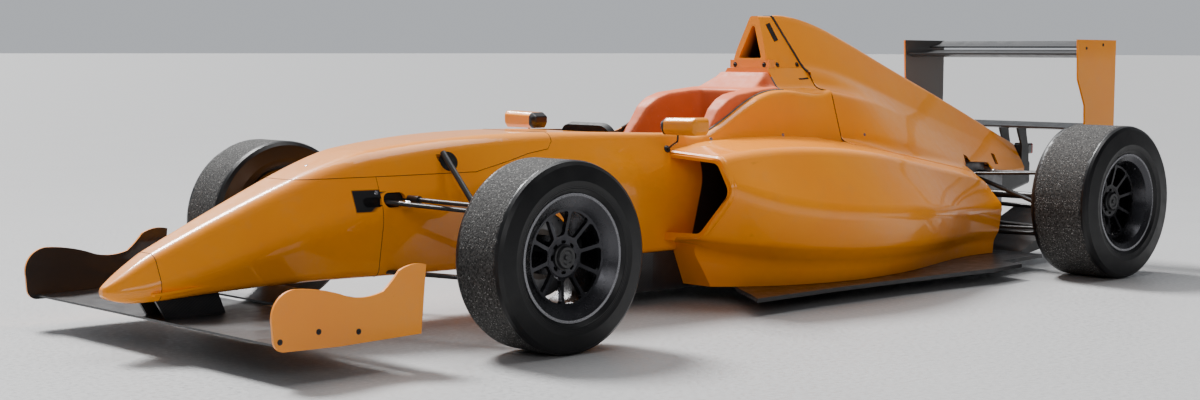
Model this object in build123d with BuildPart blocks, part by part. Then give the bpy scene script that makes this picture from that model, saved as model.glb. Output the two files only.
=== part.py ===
from build123d import *

import os
from math import cos, radians, sin, tan

# Open wheel racing car: single seater with wings, push rod suspension and slick tyres.
# Millimetres. +X is forward, +Y the driver's left, +Z up. The origin lies on the ground,
# midway between nose tip and tail, in the plane of symmetry. Places along the car are given
# as distances ahead of the front axle, negative behind it, and ahead() turns them into X.

os.makedirs("parts", exist_ok=True)

# Overall layout
wheelbase = 2720.0
nose_tip = 1008.0
tail_overhang = 624.0
tail_end = wheelbase + tail_overhang
front_axle_x = (nose_tip + tail_end) / 2 - nose_tip
rear_axle = -wheelbase
seat_gap = 0.3
panel_gap = 0.8

# Wheels and tyres
front_tyre_r = 273.0
rear_tyre_r = 285.0
front_tread = 192.0
rear_tread = 240.0
front_wheel_y = 714.0
rear_wheel_y = 762.0
flange_r = 182.0
flange_lip = 2.0
bead_r = 165.0
bead_gap = 0.2
barrel_r = 152.0
lip_wall = 8.0
lip_slope = 1.48
rim_inset = 3.0
bead_width = 9.0
bulge = 9.0
bulge_r = 216.0
shoulder_in = 15.0
shoulder_drop = 14.0
ring_r = 137.0
front_ring_depth = 25.0
rear_ring_depth = 58.0
hub_sink = 15.0
spoke_count = 10
spoke_phase = 24.0
spoke_width = 10.5
spoke_thickness = 14.0
window_in = 63.0
window_out = 131.0
window_edge = 9.0
hub_r = 56.0
hub_back = -30.0
hub_flange = 10.0
hub_barrel_r = 38.0
spindle_r = 24.0
spindle_reach = 20.0
spindle_room = 25.0
running_gap = 0.05
wheel_nut_r = 27.0
wheel_nut_height = 12.0
drive_hole_count = 8
drive_hole_ring = 43.0
disc_r = 122.0
disc_thickness = 18.0
disc_back = -62.0
bell_r = 45.0

# Nose and chassis
wall = 22.0
chassis_low = 176.0
cockpit_front = -655.0
cockpit_back = -1575.0
cockpit_floor = 490.0
cockpit_corner = 60.0
footwell_front = -250.0
tub_back = -1500.0
tub_end = -1788.0
dash_thickness = 20.0

# Floor
floor_bottom = 45.0
floor_thickness = 14.0
floor_top = floor_bottom + floor_thickness
floor_end = rear_axle - 20.0
pod_base = floor_top + seat_gap
keel_half = 205.0
keel_front = -660.0

# Suspension
kingpin_y = 590.0
upper_joint_z = 375.0
lower_joint_z = 185.0
eye_height = 20.0
eye_r = 17.0
pin_r = 8.0
pin_gap = 0.15
arm_width = 30.0
arm_thickness = 12.0
rod_r = 9.0
steer_arm = 100.0
steer_arm_z = 345.0
track_rod_z = 406.0
track_rod_r = 6.5
rack_half = 150.0
rear_upright_y = 628.0

# Wings
plate_thickness = 8.0
front_wing_half = 682.0
rear_wing_half = 436.0
wing_gap = 0.2


def ahead(distance):
    """X of a place that lies this far ahead of the front axle."""
    return front_axle_x + distance


def point(distance, y, z):
    """Place in the car's frame."""
    return Vector(ahead(distance), y, z)


def across(distance):
    """Plane across the car: local x to the left, local y up."""
    return Plane(origin=(ahead(distance), 0, 0), x_dir=(0, 1, 0), z_dir=(1, 0, 0))


def along(y):
    """Plane along the car, facing right: local x forward from the front axle, local y up."""
    return Plane(origin=(front_axle_x, y, 0), x_dir=(1, 0, 0), z_dir=(0, -1, 0))


def level(z):
    """Level plane: local x forward from the front axle, local y to the left."""
    return Plane(origin=(front_axle_x, 0, z), x_dir=(1, 0, 0), z_dir=(0, 0, 1))


def save(piece, name):
    """Label a finished piece and write its file."""
    piece.label = name
    export_step(piece, f"parts/{name}.step")


def both_sides(piece):
    """The piece and its mirror image, as one compound of separate solids."""
    return Compound([*piece.solids(), *mirror(piece, about=Plane.XZ).solids()])


def side_slab(points, y_low, y_high):
    """Solid between two y values whose side view is the outline through the points."""
    with BuildPart() as slab:
        with BuildSketch(along(y_high)):
            Polygon(*points, align=None)
        extrude(amount=y_high - y_low)
    return slab.part


def plan_slab(points, z_low, z_high):
    """Solid between two heights whose plan is the outline through the points."""
    with BuildPart() as slab:
        with BuildSketch(level(z_low)):
            Polygon(*points, align=None)
        extrude(amount=z_high - z_low)
    return slab.part


def bar(start, end, width, thickness):
    """Straight bar with rounded edges, its width kept level, between two places."""
    path = end - start
    level_x = Vector(0, 0, 1).cross(path)
    with BuildPart() as piece:
        with BuildSketch(Plane(origin=start, x_dir=level_x, z_dir=path)):
            RectangleRounded(width, thickness, thickness * 0.49)
        extrude(amount=path.length)
    return piece.part


def rod(start, end, radius):
    """Round rod between two places."""
    path = end - start
    with BuildPart() as piece:
        with BuildSketch(Plane(origin=start, z_dir=path)):
            Circle(radius)
        extrude(amount=path.length)
    return piece.part


def corners(face, places):
    """Corners of a sketch that lie nearest to the places."""
    return [face.vertices().sort_by_distance((y, z, 0))[0] for y, z in places]


# Nose and chassis: distance ahead of the front axle, half widths of the top, belt and bottom,
# heights of the bottom, belt and top, radii of the top and bottom edges
tip_rows = [
    (1003, 12, 22, 16, 172.5, 188, 201, 9, 8),
    (975, 26, 46, 36, 160, 190, 220, 22, 18),
    (930, 38, 68, 58, 154, 194, 250, 34, 28),
    (870, 48, 88, 78, 156, 204, 286, 42, 30),
]
tip_end = [(nose_tip, 6, 13, 9, 179, 188, 195, 4, 4), tip_rows[0]]
nose_rows = [
    tip_rows[-1],
    (720, 60, 114, 99, 166, 235, 354, 48, 28),
    (555, 76, 142, 120, 174, 284, 425, 56, 28),
    (375, 98, 170, 142, 178, 332, 496, 62, 30),
    (195, 124, 196, 160, 177, 370, 549, 64, 30),
]
front_rows = [
    nose_rows[-1],
    (-80, 148, 222, 178, chassis_low, 398, 578, 60, 30),
    (-390, 170, 250, 196, chassis_low, 420, 588, 48, 28),
    (-700, 198, 272, 212, chassis_low, 432, 582, 34, 26),
    (-1020, 224, 290, 222, chassis_low, 440, 572, 24, 24),
]
rear_rows = [
    front_rows[-1],
    (-1190, 228, 296, 224, chassis_low, 446, 590, 24, 24),
    (-1360, 236, 300, 226, chassis_low, 450, 676, 24, 24),
    (-1545, 232, 300, 226, chassis_low, 450, 708, 24, 24),
    (tub_end, 222, 300, 226, chassis_low, 450, 706, 24, 24),
]
belt_round = 0.4
belt_round_most = 160.0


def hull(rows, grow=0.0, ruled=False):
    """Loft through rows of the nose and chassis tables, grown by a clearance."""
    with BuildPart() as body:
        for distance, top, belt, bottom, low, mid, high, top_edge, bottom_edge in rows:
            left = [(bottom + grow, low - grow), (belt + grow, mid), (top + grow, high + grow)]
            right = [(-y, z) for y, z in reversed(left)]
            with BuildSketch(across(distance)) as face:
                Polygon(*left, *right, align=None)
                fillet(corners(face, [left[0], right[-1]]), bottom_edge)
                fillet(corners(face, [left[2], right[0]]), top_edge)
                fillet(corners(face, [left[1], right[1]]), min(belt_round_most, belt_round * (high - low)))
        loft(ruled=ruled)
    return body.part


def chassis(grow=0.0):
    """Both lofts of the chassis, grown by a clearance."""
    with BuildPart() as body:
        add(hull(front_rows, grow))
        add(hull(rear_rows, grow))
    return body.part


# The cover over the front dampers: its lower edge in side view, distance and height
cover_edge = [
    (600, 468), (400, 473), (185, 475), (-150, 477), (-269, 503), (-363, 526), (-440, 537), (-462, 560), (-470, 610),
]
over_cover = 700.0
full_side = 300.0
cover_zone = side_slab(
    [*cover_edge, (cover_edge[-1][0], over_cover), (cover_edge[0][0], over_cover)], -full_side, full_side
)
cover_side = side_slab(
    [
        *[(d, z + seat_gap) for d, z in cover_edge[:-1]],
        (cover_edge[-1][0] + seat_gap, cover_edge[-1][1]),
        (cover_edge[-1][0] + seat_gap, over_cover),
        (cover_edge[0][0], over_cover),
    ],
    -full_side,
    full_side,
)

whole_nose = hull(nose_rows)
whole_chassis = chassis()


def recess(distance, z, length, height, floor_y):
    """Capsule shaped pocket in the left side, down to its floor."""
    with BuildPart() as pocket:
        with BuildSketch(along(full_side)):
            with Locations((distance, z)):
                SlotOverall(length, height)
        extrude(amount=full_side - floor_y)
    return pocket.part


nose_recess = (222, 402, 62, 28)
arm_recess = (150, 406, 76, 44)
recess_floor = 165.0

with BuildPart() as nose_end:
    add(hull(tip_rows))
    add(hull(tip_end, ruled=True))
save(nose_end.part, "nose_tip")

with BuildPart() as nose_cone:
    add(whole_nose)
    add(cover_zone, mode=Mode.SUBTRACT)
    add(both_sides(recess(*nose_recess, recess_floor)), mode=Mode.SUBTRACT)
save(nose_cone.part, "nose_cone")

pushrod_foot = point(-25, 548, lower_joint_z)
pushrod_hole = point(-42, 205, 505)
pushrod_line = (pushrod_hole - pushrod_foot).normalized()
pushrod_head = pushrod_hole + pushrod_line * 50
pocket_r = 23.0
pocket_left = rod(pushrod_head, pushrod_hole - pushrod_line * 90, pocket_r)
with BuildPart() as damper_cover:
    add(whole_nose)
    add(whole_chassis)
    add(cover_side, mode=Mode.INTERSECT)
    add(both_sides(pocket_left), mode=Mode.SUBTRACT)
save(damper_cover.part, "damper_cover")

# Inside of the chassis, kept one wall away from the outside
inner_hull = chassis(-wall)
inside_top = 560.0
dash_low = 420.0
wheel_tilt = 20.0
steering_centre = point(-800, 0, 521)
column_r = 12.0
column_room = 80.0
column_line = Vector(cos(radians(wheel_tilt)), 0, -sin(radians(wheel_tilt)))
dash_reach = 150.0
dash_place = steering_centre + Vector(1, 0, -tan(radians(wheel_tilt))) * dash_reach
cockpit_left = [(cockpit_front, 150), (-860, 188), (-1060, 205), (-1260, 212), (cockpit_back, 190)]
cockpit_outline = [*cockpit_left, *[(d, -y) for d, y in reversed(cockpit_left)]]
with BuildPart() as inside:
    add(inner_hull)
    with BuildSketch(level(0)):
        with Locations(((footwell_front + tub_back) / 2, 0)):
            Rectangle(footwell_front - tub_back, 2 * wheelbase)
    extrude(amount=inside_top, mode=Mode.INTERSECT)
    with BuildSketch(level(dash_low)):
        with Locations((cockpit_front + dash_thickness / 2, 0)):
            Rectangle(dash_thickness, 2 * wheelbase)
    extrude(amount=inside_top - dash_low, mode=Mode.SUBTRACT)
with BuildPart() as opening:
    with BuildSketch(level(cockpit_floor)) as mouth:
        Polygon(*cockpit_outline, align=None)
        fillet(mouth.vertices(), cockpit_corner)
    extrude(amount=over_cover)
rack_r = 12.0
rack_gap = 0.5
rack_line = [point(steer_arm, side * full_side, track_rod_z) for side in (-1, 1)]

# Raised fairing behind the cockpit that carries the roll hoop
fairing_front = cockpit_back - 2.0
fairing_top = 784.0
fairing_left = [(215, 640), (215, 696), (150, 712), (98, fairing_top)]
fairing_edge = 50.0
fairing_fold = [fairing_left[2], (-fairing_left[2][0], fairing_left[2][1])]

# Slanted seam where the engine cover ends behind the roll hoop and the fairing
over_hoop = 992.0
seam_lean = 15.0
seam_foot = 24.0
seam_line = [(-1674, over_hoop), (tub_end + seam_lean, fairing_top), (tub_end, fairing_top - seam_foot), (tub_end, 0)]
ahead_of_seam = side_slab([*seam_line, (nose_tip, 0), (nose_tip, over_hoop)], -wheelbase, wheelbase)
with BuildPart() as fairing:
    with BuildSketch(across(fairing_front)) as fairing_face:
        Polygon(*fairing_left, *[(-y, z) for y, z in reversed(fairing_left)], align=None)
        fillet(corners(fairing_face, fairing_fold), fairing_edge)
    extrude(amount=fairing_front - tub_end, dir=(-1, 0, 0))
    add(ahead_of_seam, mode=Mode.INTERSECT)

with BuildPart() as monocoque:
    add(whole_chassis)
    add(fairing.part)
    add(rod(rack_line[0], rack_line[1], rack_r + rack_gap), mode=Mode.SUBTRACT)
    add(cover_zone, mode=Mode.SUBTRACT)
    add(both_sides(pocket_left), mode=Mode.SUBTRACT)
    add(both_sides(recess(*arm_recess, recess_floor)), mode=Mode.SUBTRACT)
    add(inside.part, mode=Mode.SUBTRACT)
    add(opening.part, mode=Mode.SUBTRACT)
    with BuildSketch(Plane(origin=dash_place, z_dir=column_line)):
        Circle(column_r + seat_gap)
    extrude(amount=column_room, both=True, mode=Mode.SUBTRACT)
save(monocoque.part, "monocoque")

# Steering wheel with its column
wheel_plane = Plane(origin=steering_centre, x_dir=(0, 1, 0), z_dir=-column_line)
wheel_width = 250.0
wheel_height = 165.0
wheel_corner = 50.0
grip_width = 26.0
grip_corner = 28.0
wheel_thickness = 24.0
dash_width = 126.0
dash_height = 150.0
dash_corner = 20.0
column_length = 190.0
with BuildPart() as steering_wheel:
    with BuildSketch(wheel_plane):
        RectangleRounded(wheel_width, wheel_height, wheel_corner)
        RectangleRounded(
            wheel_width - 2 * grip_width, wheel_height - 2 * (grip_width + 1), grip_corner, mode=Mode.SUBTRACT
        )
        RectangleRounded(dash_width, dash_height, dash_corner)
    extrude(amount=wheel_thickness)
    with BuildSketch(wheel_plane):
        Circle(column_r)
    extrude(amount=-column_length)
save(steering_wheel.part, "steering_wheel")

# Seat: a reclined bucket on the floor of the chassis
seat_base = chassis_low + wall + seat_gap
seat_outer = [(-880, 330), (-900, seat_base), (-1250, seat_base), (-1480, 440), (-1480, 486), (-1440, 486)]
seat_hollow = [(-860, 480), (-860, 320), (-920, 262), (-1210, 236), (-1420, 460), (-1420, 620), (-860, 620)]
seat_half = 176.0
seat_hollow_half = 150.0
with BuildPart() as seat:
    add(side_slab([*seat_outer, (-1360, 430), (-1150, 350)], -seat_half, seat_half))
    add(side_slab(seat_hollow, -seat_hollow_half, seat_hollow_half), mode=Mode.SUBTRACT)
save(seat.part, "seat")

# Headrest foam round the driver's head: side walls, back pad and the raised block before the roll hoop
foam_front = -1110.0
foam_low = cockpit_floor + seat_gap
foam_top = [
    (foam_front, 500), (-1135, 545), (-1180, 600), (-1215, 648), (-1262, 680), (-1311, 697), (-1465, 714),
    (cockpit_back, 720),
]
foam_inner = [(-500, full_side), (foam_front, full_side), (foam_front, 166), (-1400, 106), (-1430, 90)]
block_front = -1545.0
block_left = [(150, 690), (150, 718), (110, 770)]
with BuildPart() as foam_space:
    add(side_slab([*foam_top, (cockpit_back, foam_low), (foam_front, foam_low)], -full_side, full_side))
    with BuildSketch(across(block_front)):
        Polygon(*block_left, *[(-y, z) for y, z in reversed(block_left)], align=None)
    extrude(amount=block_front - cockpit_back, dir=(-1, 0, 0))
with BuildPart() as headrest:
    with BuildSketch(level(foam_low)) as foam_plan:
        Polygon(*cockpit_outline, align=None)
        fillet(foam_plan.vertices(), cockpit_corner)
        offset(amount=-2 * seat_gap)
        Polygon(*foam_inner, *[(d, -y) for d, y in reversed(foam_inner)], align=None, mode=Mode.SUBTRACT)
    extrude(amount=full_side)
    add(foam_space.part, mode=Mode.INTERSECT)
save(headrest.part, "headrest")

# Roll hoop with the triangular air intake, cut off at the slanted seam of the engine cover
hoop_front = -1590.0
hoop_base = fairing_top + seat_gap
hoop_base_half = 96.0
hoop_top = 972.0
hoop_top_half = 20.0
intake_depth = 110.0
bar_height = 29.0
bar_depth = 30.0
bar_top = fairing_top + bar_height
hoop_lean = [(hoop_front, bar_top), (hoop_front - 26, over_hoop), (tub_back, over_hoop), (tub_back, bar_top)]
hoop_corner = 14.0
hoop_edge = 9.0
intake_edge = 5.0
with BuildPart() as roll_hoop:
    with BuildSketch(across(hoop_front)) as hoop_face:
        Polygon(
            (hoop_base_half, hoop_base), (hoop_top_half, hoop_top), (-hoop_top_half, hoop_top),
            (-hoop_base_half, hoop_base), align=None,
        )
        fillet(hoop_face.vertices().group_by(Axis.Y)[-1], hoop_corner)
    extrude(amount=hoop_front - tub_end, dir=(-1, 0, 0))
    fillet(roll_hoop.edges().group_by(Axis.X)[-1].sort_by(Axis.Z)[1:], hoop_edge)
    add(side_slab(hoop_lean, -full_side, full_side), mode=Mode.SUBTRACT)
    with BuildSketch(across(hoop_front)):
        with Locations((0, hoop_base + bar_height / 2)):
            Rectangle(2 * hoop_base_half, bar_height)
    extrude(amount=bar_depth, dir=(-1, 0, 0))
    with BuildSketch(across(hoop_front)) as duct_face:
        Polygon((56, 820), (6, 935), (-6, 935), (-56, 820), align=None)
        fillet(duct_face.vertices(), intake_edge)
    extrude(amount=intake_depth, dir=(-1, 0, 0), mode=Mode.SUBTRACT)
    add(ahead_of_seam, mode=Mode.INTERSECT)
save(roll_hoop.part, "roll_hoop")

# Engine cover: share of its length, half width and height of its base, shoulder, neck and spine,
# radii of the shoulder, neck and spine
cover_front = -1660.0
cover_back = rear_axle - 515.0
cover_rows = [
    (0.00, 302, 522, 238, 706, 96, 784, 20, 973, 50, 60, 14),
    (0.21, 298, 510, 206, 668, 99, 752, 22, 922, 50, 60, 15),
    (0.40, 268, 452, 165, 596, 98, 666, 22, 812, 40, 50, 15),
    (0.63, 200, 384, 126, 496, 84, 556, 20, 678, 30, 40, 14),
    (0.85, 118, 342, 86, 420, 60, 462, 18, 545, 20, 24, 12),
    (1.00, 72, 340, 58, 386, 42, 410, 14, 455, 8, 8, 9),
]
base_lip = 20.0


def cover(grow=0.0, drop=0.0):
    """Loft of the engine cover, grown all round and drawn down at its base."""
    with BuildPart() as body:
        for share, base, base_z, shoulder, shoulder_z, neck, neck_z, spine, spine_z, *edges in cover_rows:
            left = [
                (base + grow, base_z - drop),
                (base + grow, base_z + base_lip),
                (shoulder + grow, shoulder_z + grow / 3),
                (neck + grow, neck_z + grow / 3),
                (spine + grow / 2, spine_z + grow),
            ]
            right = [(-y, z) for y, z in reversed(left)]
            with BuildSketch(across(cover_front + (cover_back - cover_front) * share)) as face:
                Polygon(*left, *right, align=None)
                for place, edge in zip(left[2:], edges):
                    fillet(corners(face, [place, (-place[0], place[1])]), edge)
        loft()
    return body.part


cover_skin = 7.0
whole_cover = cover()
arm_slot = [(98, 300), (80, 408), (20, 408), (-170, 396), (-210, 300)]
with BuildPart() as engine_cover:
    add(whole_cover)
    add(cover(-cover_skin, 30), mode=Mode.SUBTRACT)
    add(ahead_of_seam.moved(Location((-seat_gap, 0, 0))), mode=Mode.SUBTRACT)
    add(side_slab([(rear_axle + d, z) for d, z in arm_slot], -400, 400), mode=Mode.SUBTRACT)
save(engine_cover.part, "engine_cover")

# Side pods: share of their length, half width of the base, half width and height of the neck, low
# side, belt and top, height of the inner top, radii of the lower and upper edges
pod_front = -950.0
pod_back = rear_axle + 90.0
pod_inner = keel_half + panel_gap
pod_rows = [
    (0.00, 222, 238, 214, 400, 226, 552, 395, 487, 506, 522, 60, 50),
    (0.16, 455, 478, 140, 570, 200, 644, 330, 512, 526, 552, 60, 60),
    (0.36, 537, 552, 120, 612, 180, 660, 300, 532, 507, 556, 60, 60),
    (0.57, 500, 512, 110, 562, 165, 600, 280, 472, 460, 524, 60, 60),
    (0.78, 396, 406, 110, 444, 150, 472, 252, 388, 404, 472, 50, 50),
    (1.00, 345, 350, 110, 372, 150, 387, 250, 302, 336, 396, 40, 40),
]
# Rounded lip of the inlet: steps ahead of the pod's first section and how far each is drawn in
lip_steps = [(0, 0), (10, 2), (18, 7), (22, 14)]
under_lip = [(-800, 0), (-800, 218), (-950, 218), (-984, 205), (-1045, 60), (-1045, 0)]


def pod_at(share):
    """Distance of a section of the side pod."""
    return pod_front + (pod_back - pod_front) * share


def pod_section(distance, row, inset=0.0):
    """Outline of the left side pod at one section, drawn in by an inset."""
    share, base, neck, neck_z, low, low_z, belt, belt_z, top, top_z, inner_z, lower, upper = row
    with BuildSketch(across(distance)) as face:
        Polygon(
            (pod_inner, pod_base), (base, pod_base), (neck, neck_z), (low, low_z), (belt, belt_z), (top, top_z),
            (pod_inner, inner_z), align=None,
        )
        fillet(corners(face, [(neck, neck_z), (low, low_z)]), lower)
        fillet(corners(face, [(belt, belt_z), (top, top_z)]), upper)
        if inset:
            offset(amount=-inset)
    return face.sketch


with BuildPart() as whole_pod:
    for row in pod_rows:
        add(pod_section(pod_at(row[0]), row))
    loft()
with BuildPart() as pod_lip:
    for step, inset in lip_steps:
        add(pod_section(pod_front + step, pod_rows[0], inset))
    loft(ruled=True)

# Cooling duct inside a pod: share of the pod's length, height of its inner foot, half width and height
# of its low side, belt and top, height of its inner top
duct_rows = [
    (-0.02, 246, 385, 250, 522, 393, 470, 482, 496),
    (0.16, 200, 545, 228, 618, 330, 495, 502, 526),
    (0.36, 190, 585, 205, 634, 300, 515, 482, 530),
]
duct_depth = 420.0
duct_back = pod_front - duct_depth
duct_low_edge = 45.0
duct_top_edge = 36.0


def duct(shrink=0.0):
    """Space of the cooling duct, up to the radiator's back."""
    with BuildPart() as body:
        for share, foot_z, low, low_z, belt, belt_z, top, top_z, inner_z in duct_rows:
            with BuildSketch(across(pod_at(share))) as face:
                Polygon(
                    (pod_inner - 5, foot_z + shrink), (low - shrink, low_z + shrink), (belt - shrink, belt_z),
                    (top - shrink, top_z - shrink), (pod_inner - 5, inner_z - shrink), align=None,
                )
                fillet(corners(face, [(low - shrink, low_z + shrink)]), duct_low_edge)
                fillet(corners(face, [(belt - shrink, belt_z), (top - shrink, top_z - shrink)]), duct_top_edge)
        loft()
        with BuildSketch(level(0)):
            with Locations((duct_back + wheelbase / 2, 0)):
                Rectangle(wheelbase, wheelbase)
        extrude(amount=hoop_top, mode=Mode.INTERSECT)
    return body.part


chassis_room = chassis(panel_gap)
with BuildPart() as sidepod_left:
    add(whole_pod.part)
    add(pod_lip.part)
    add(side_slab(under_lip, 0, wheelbase), mode=Mode.SUBTRACT)
    add(duct(), mode=Mode.SUBTRACT)
    add(chassis_room, mode=Mode.SUBTRACT)
    add(cover(panel_gap, 600), mode=Mode.SUBTRACT)
    with BuildSketch(level(0)):
        Rectangle(4 * wheelbase, 2 * (keel_half + seat_gap))
    extrude(amount=hoop_top, mode=Mode.SUBTRACT)
save(sidepod_left.part, "sidepod_left")
save(mirror(sidepod_left.part, about=Plane.XZ), "sidepod_right")

# Radiators at the back of the cooling ducts
radiator_depth = 40.0
radiator_back = duct_back + seat_gap
with BuildPart() as radiator:
    add(duct(seat_gap))
    with BuildSketch(level(0)):
        with Locations((radiator_back + radiator_depth / 2, 0)):
            Rectangle(radiator_depth, wheelbase)
    extrude(amount=hoop_top, mode=Mode.INTERSECT)
    add(chassis_room, mode=Mode.SUBTRACT)
save(both_sides(radiator.part), "radiators")

# Floor with its keel under the chassis
floor_front = -1250.0
floor_plan = [
    (floor_front, 0), (-1248, 90), (-1243, 176), (-1170, 320), (-1080, 433), (-1000, 560), (-942, 641),
    (-1324, 628), (-1660, 632), (-1960, 642), (rear_axle + 510, 660), (rear_axle + 320, 640),
    (rear_axle + 300, 540), (floor_end, 500), (floor_end, 0),
]
keel_back = -1700.0
keel_left = [(keel_front, 60), (-760, 190), (-900, keel_half), (keel_back, keel_half)]
with BuildPart() as floor:
    add(plan_slab(floor_plan, floor_bottom, floor_top))
    mirror(about=Plane.XZ)
    add(
        plan_slab(
            [*keel_left, *[(d, -y) for d, y in reversed(keel_left)]], floor_bottom, chassis_low - seat_gap
        )
    )
save(floor.part, "floor")

# Diffuser behind the floor, with its fences
diffuser_back = rear_axle - 392.0
diffuser_rise = 192.0
diffuser_skin = 12.0
diffuser_line = [
    (floor_end - seat_gap, floor_bottom), (floor_end - seat_gap, floor_top),
    (diffuser_back + diffuser_skin, diffuser_rise + 8), (diffuser_back, diffuser_rise),
    (floor_end - diffuser_skin, floor_bottom),
]
fence_line = [
    (floor_end - diffuser_skin, floor_bottom + 0.5), (diffuser_back + diffuser_skin, diffuser_rise + 2),
    (diffuser_back, diffuser_rise - 2), (diffuser_back + 52, 90), (floor_end - 20, floor_bottom),
]
diffuser_in = 112.0
diffuser_out = 400.0
fence_half = 3.0
with BuildPart() as diffuser_half:
    add(side_slab(diffuser_line, diffuser_in, diffuser_out))
    for fence_y in (diffuser_in + fence_half, (diffuser_in + diffuser_out) / 2, diffuser_out - fence_half):
        add(side_slab(fence_line, fence_y - fence_half, fence_y + fence_half))
save(both_sides(diffuser_half.part), "diffuser")

# Engine and gearbox, closed in under the cover
engine_length = 560.0
engine_width = 380.0
engine_low = 70.0
engine_high = 510.0
engine_edge = 30.0
with BuildPart() as engine:
    with BuildSketch(across(tub_end - seat_gap)):
        with Locations((0, (engine_low + engine_high) / 2)):
            RectangleRounded(engine_width, engine_high - engine_low, engine_edge)
    extrude(amount=-engine_length)
save(engine.part, "engine")

gearbox_front = tub_end - 2 * seat_gap - engine_length
gearbox_half = 105.0
gearbox_step = rear_axle - 180.0
gearbox_end = rear_axle - 350.0
gearbox_edge = 16.0
with BuildPart() as gearbox:
    with BuildSketch(across(gearbox_front)):
        with Locations((0, 252)):
            RectangleRounded(2 * gearbox_half, 306, gearbox_edge)
    extrude(amount=gearbox_step - gearbox_front)
    with BuildSketch(across(gearbox_step)):
        with Locations((0, 235)):
            RectangleRounded(150, 270, gearbox_edge)
    extrude(amount=gearbox_end - gearbox_step)
save(gearbox.part, "gearbox")

# Crash structure with the bracket of the rain light on its end
light_back = rear_axle - tail_overhang
light_front = light_back + 32.0
crash_back = light_front + seat_gap
bracket = 18.0
light_z = 432.0
with BuildPart() as crash_structure:
    with BuildSketch(across(gearbox_end - seat_gap)):
        with Locations((0, 300)):
            RectangleRounded(124, 130, 20)
    with BuildSketch(across(crash_back)):
        with Locations((0, 332)):
            RectangleRounded(88, 100, 14)
    loft()
    with BuildSketch(across(crash_back)):
        with Locations((0, light_z - 40)):
            Rectangle(56, 110)
    extrude(amount=bracket)
save(crash_structure.part, "crash_structure")
with BuildPart() as rain_light:
    with BuildSketch(across(light_front)):
        with Locations((0, light_z)):
            RectangleRounded(72, 46, 8)
    extrude(amount=light_back - light_front)
save(rain_light.part, "rain_light")

# Rear wing
plate_outline = [(-328, 893), (-606, 891), (-606, 525), (-394, 525), (-390, 628), (-336, 735)]
with BuildPart() as rear_plate:
    add(
        side_slab(
            [(rear_axle + d, z) for d, z in plate_outline], rear_wing_half - plate_thickness, rear_wing_half
        )
    )
save(both_sides(rear_plate.part), "rear_wing_endplates")


def aerofoil(nose, tail, thickness, sag, y_low, y_high):
    """Wing element between two y values: belly down, its top hollowed by the sag."""
    middle_x = nose[0] + (tail[0] - nose[0]) * 0.4
    middle_z = nose[1] + (tail[1] - nose[1]) * 0.4
    edge = 2.0
    with BuildPart() as element:
        with BuildSketch(along(y_high)):
            with BuildLine():
                ThreePointArc(nose, (middle_x, middle_z - sag), tail)
                Line(tail, (tail[0], tail[1] - edge))
                ThreePointArc(
                    (tail[0], tail[1] - edge), (middle_x, middle_z - sag - thickness), (nose[0], nose[1] - 3 * edge)
                )
                Line((nose[0], nose[1] - 3 * edge), nose)
            make_face()
        extrude(amount=y_high - y_low)
    return element.part


inner_wing = rear_wing_half - plate_thickness - wing_gap
main_nose = (rear_axle - 342, 838)
flap_nose = (rear_axle - 504, 866)
with BuildPart() as rear_planes:
    add(aerofoil(main_nose, (rear_axle - 516, 852), 18, 6, -inner_wing, inner_wing))
    add(aerofoil(flap_nose, (rear_axle - 594, 889), 9, 4, -inner_wing, inner_wing))
save(rear_planes.part, "rear_wing_planes")
beam_z = 536.0
with BuildPart() as beam:
    add(aerofoil((rear_axle - 405, beam_z), (rear_axle - 555, beam_z + 14), 12, 5, -inner_wing, inner_wing))
save(beam.part, "rear_beam_wing")

# Front wing: the endplates are cut along arcs, high at the back and with a valley in the middle
with BuildPart() as front_end:
    with BuildSketch(along(front_wing_half)):
        with BuildLine():
            Polyline((416, 278), (434, 93), (695, 86), (866, 89))
            RadiusArc((866, 89), (898, 120), -32)
            Line((898, 120), (901, 160))
            ThreePointArc((901, 160), (884, 222), (830, 246))
            ThreePointArc((830, 246), (755, 238), (693, 222))
            ThreePointArc((693, 222), (615, 207), (558, 217))
            ThreePointArc((558, 217), (532, 239), (505, 268))
            ThreePointArc((505, 268), (470, 280), (416, 278))
        make_face()
    extrude(amount=plate_thickness)
save(both_sides(front_end.part), "front_wing_endplates")
front_inner = front_wing_half - plate_thickness - wing_gap
with BuildPart() as front_plane:
    add(aerofoil((870, 104), (520, 112), 16, 4, -front_inner, front_inner))
    add(aerofoil((512, 122), (432, 160), 8, 4, -front_inner, front_inner))
save(front_plane.part, "front_wing_planes")


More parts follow.
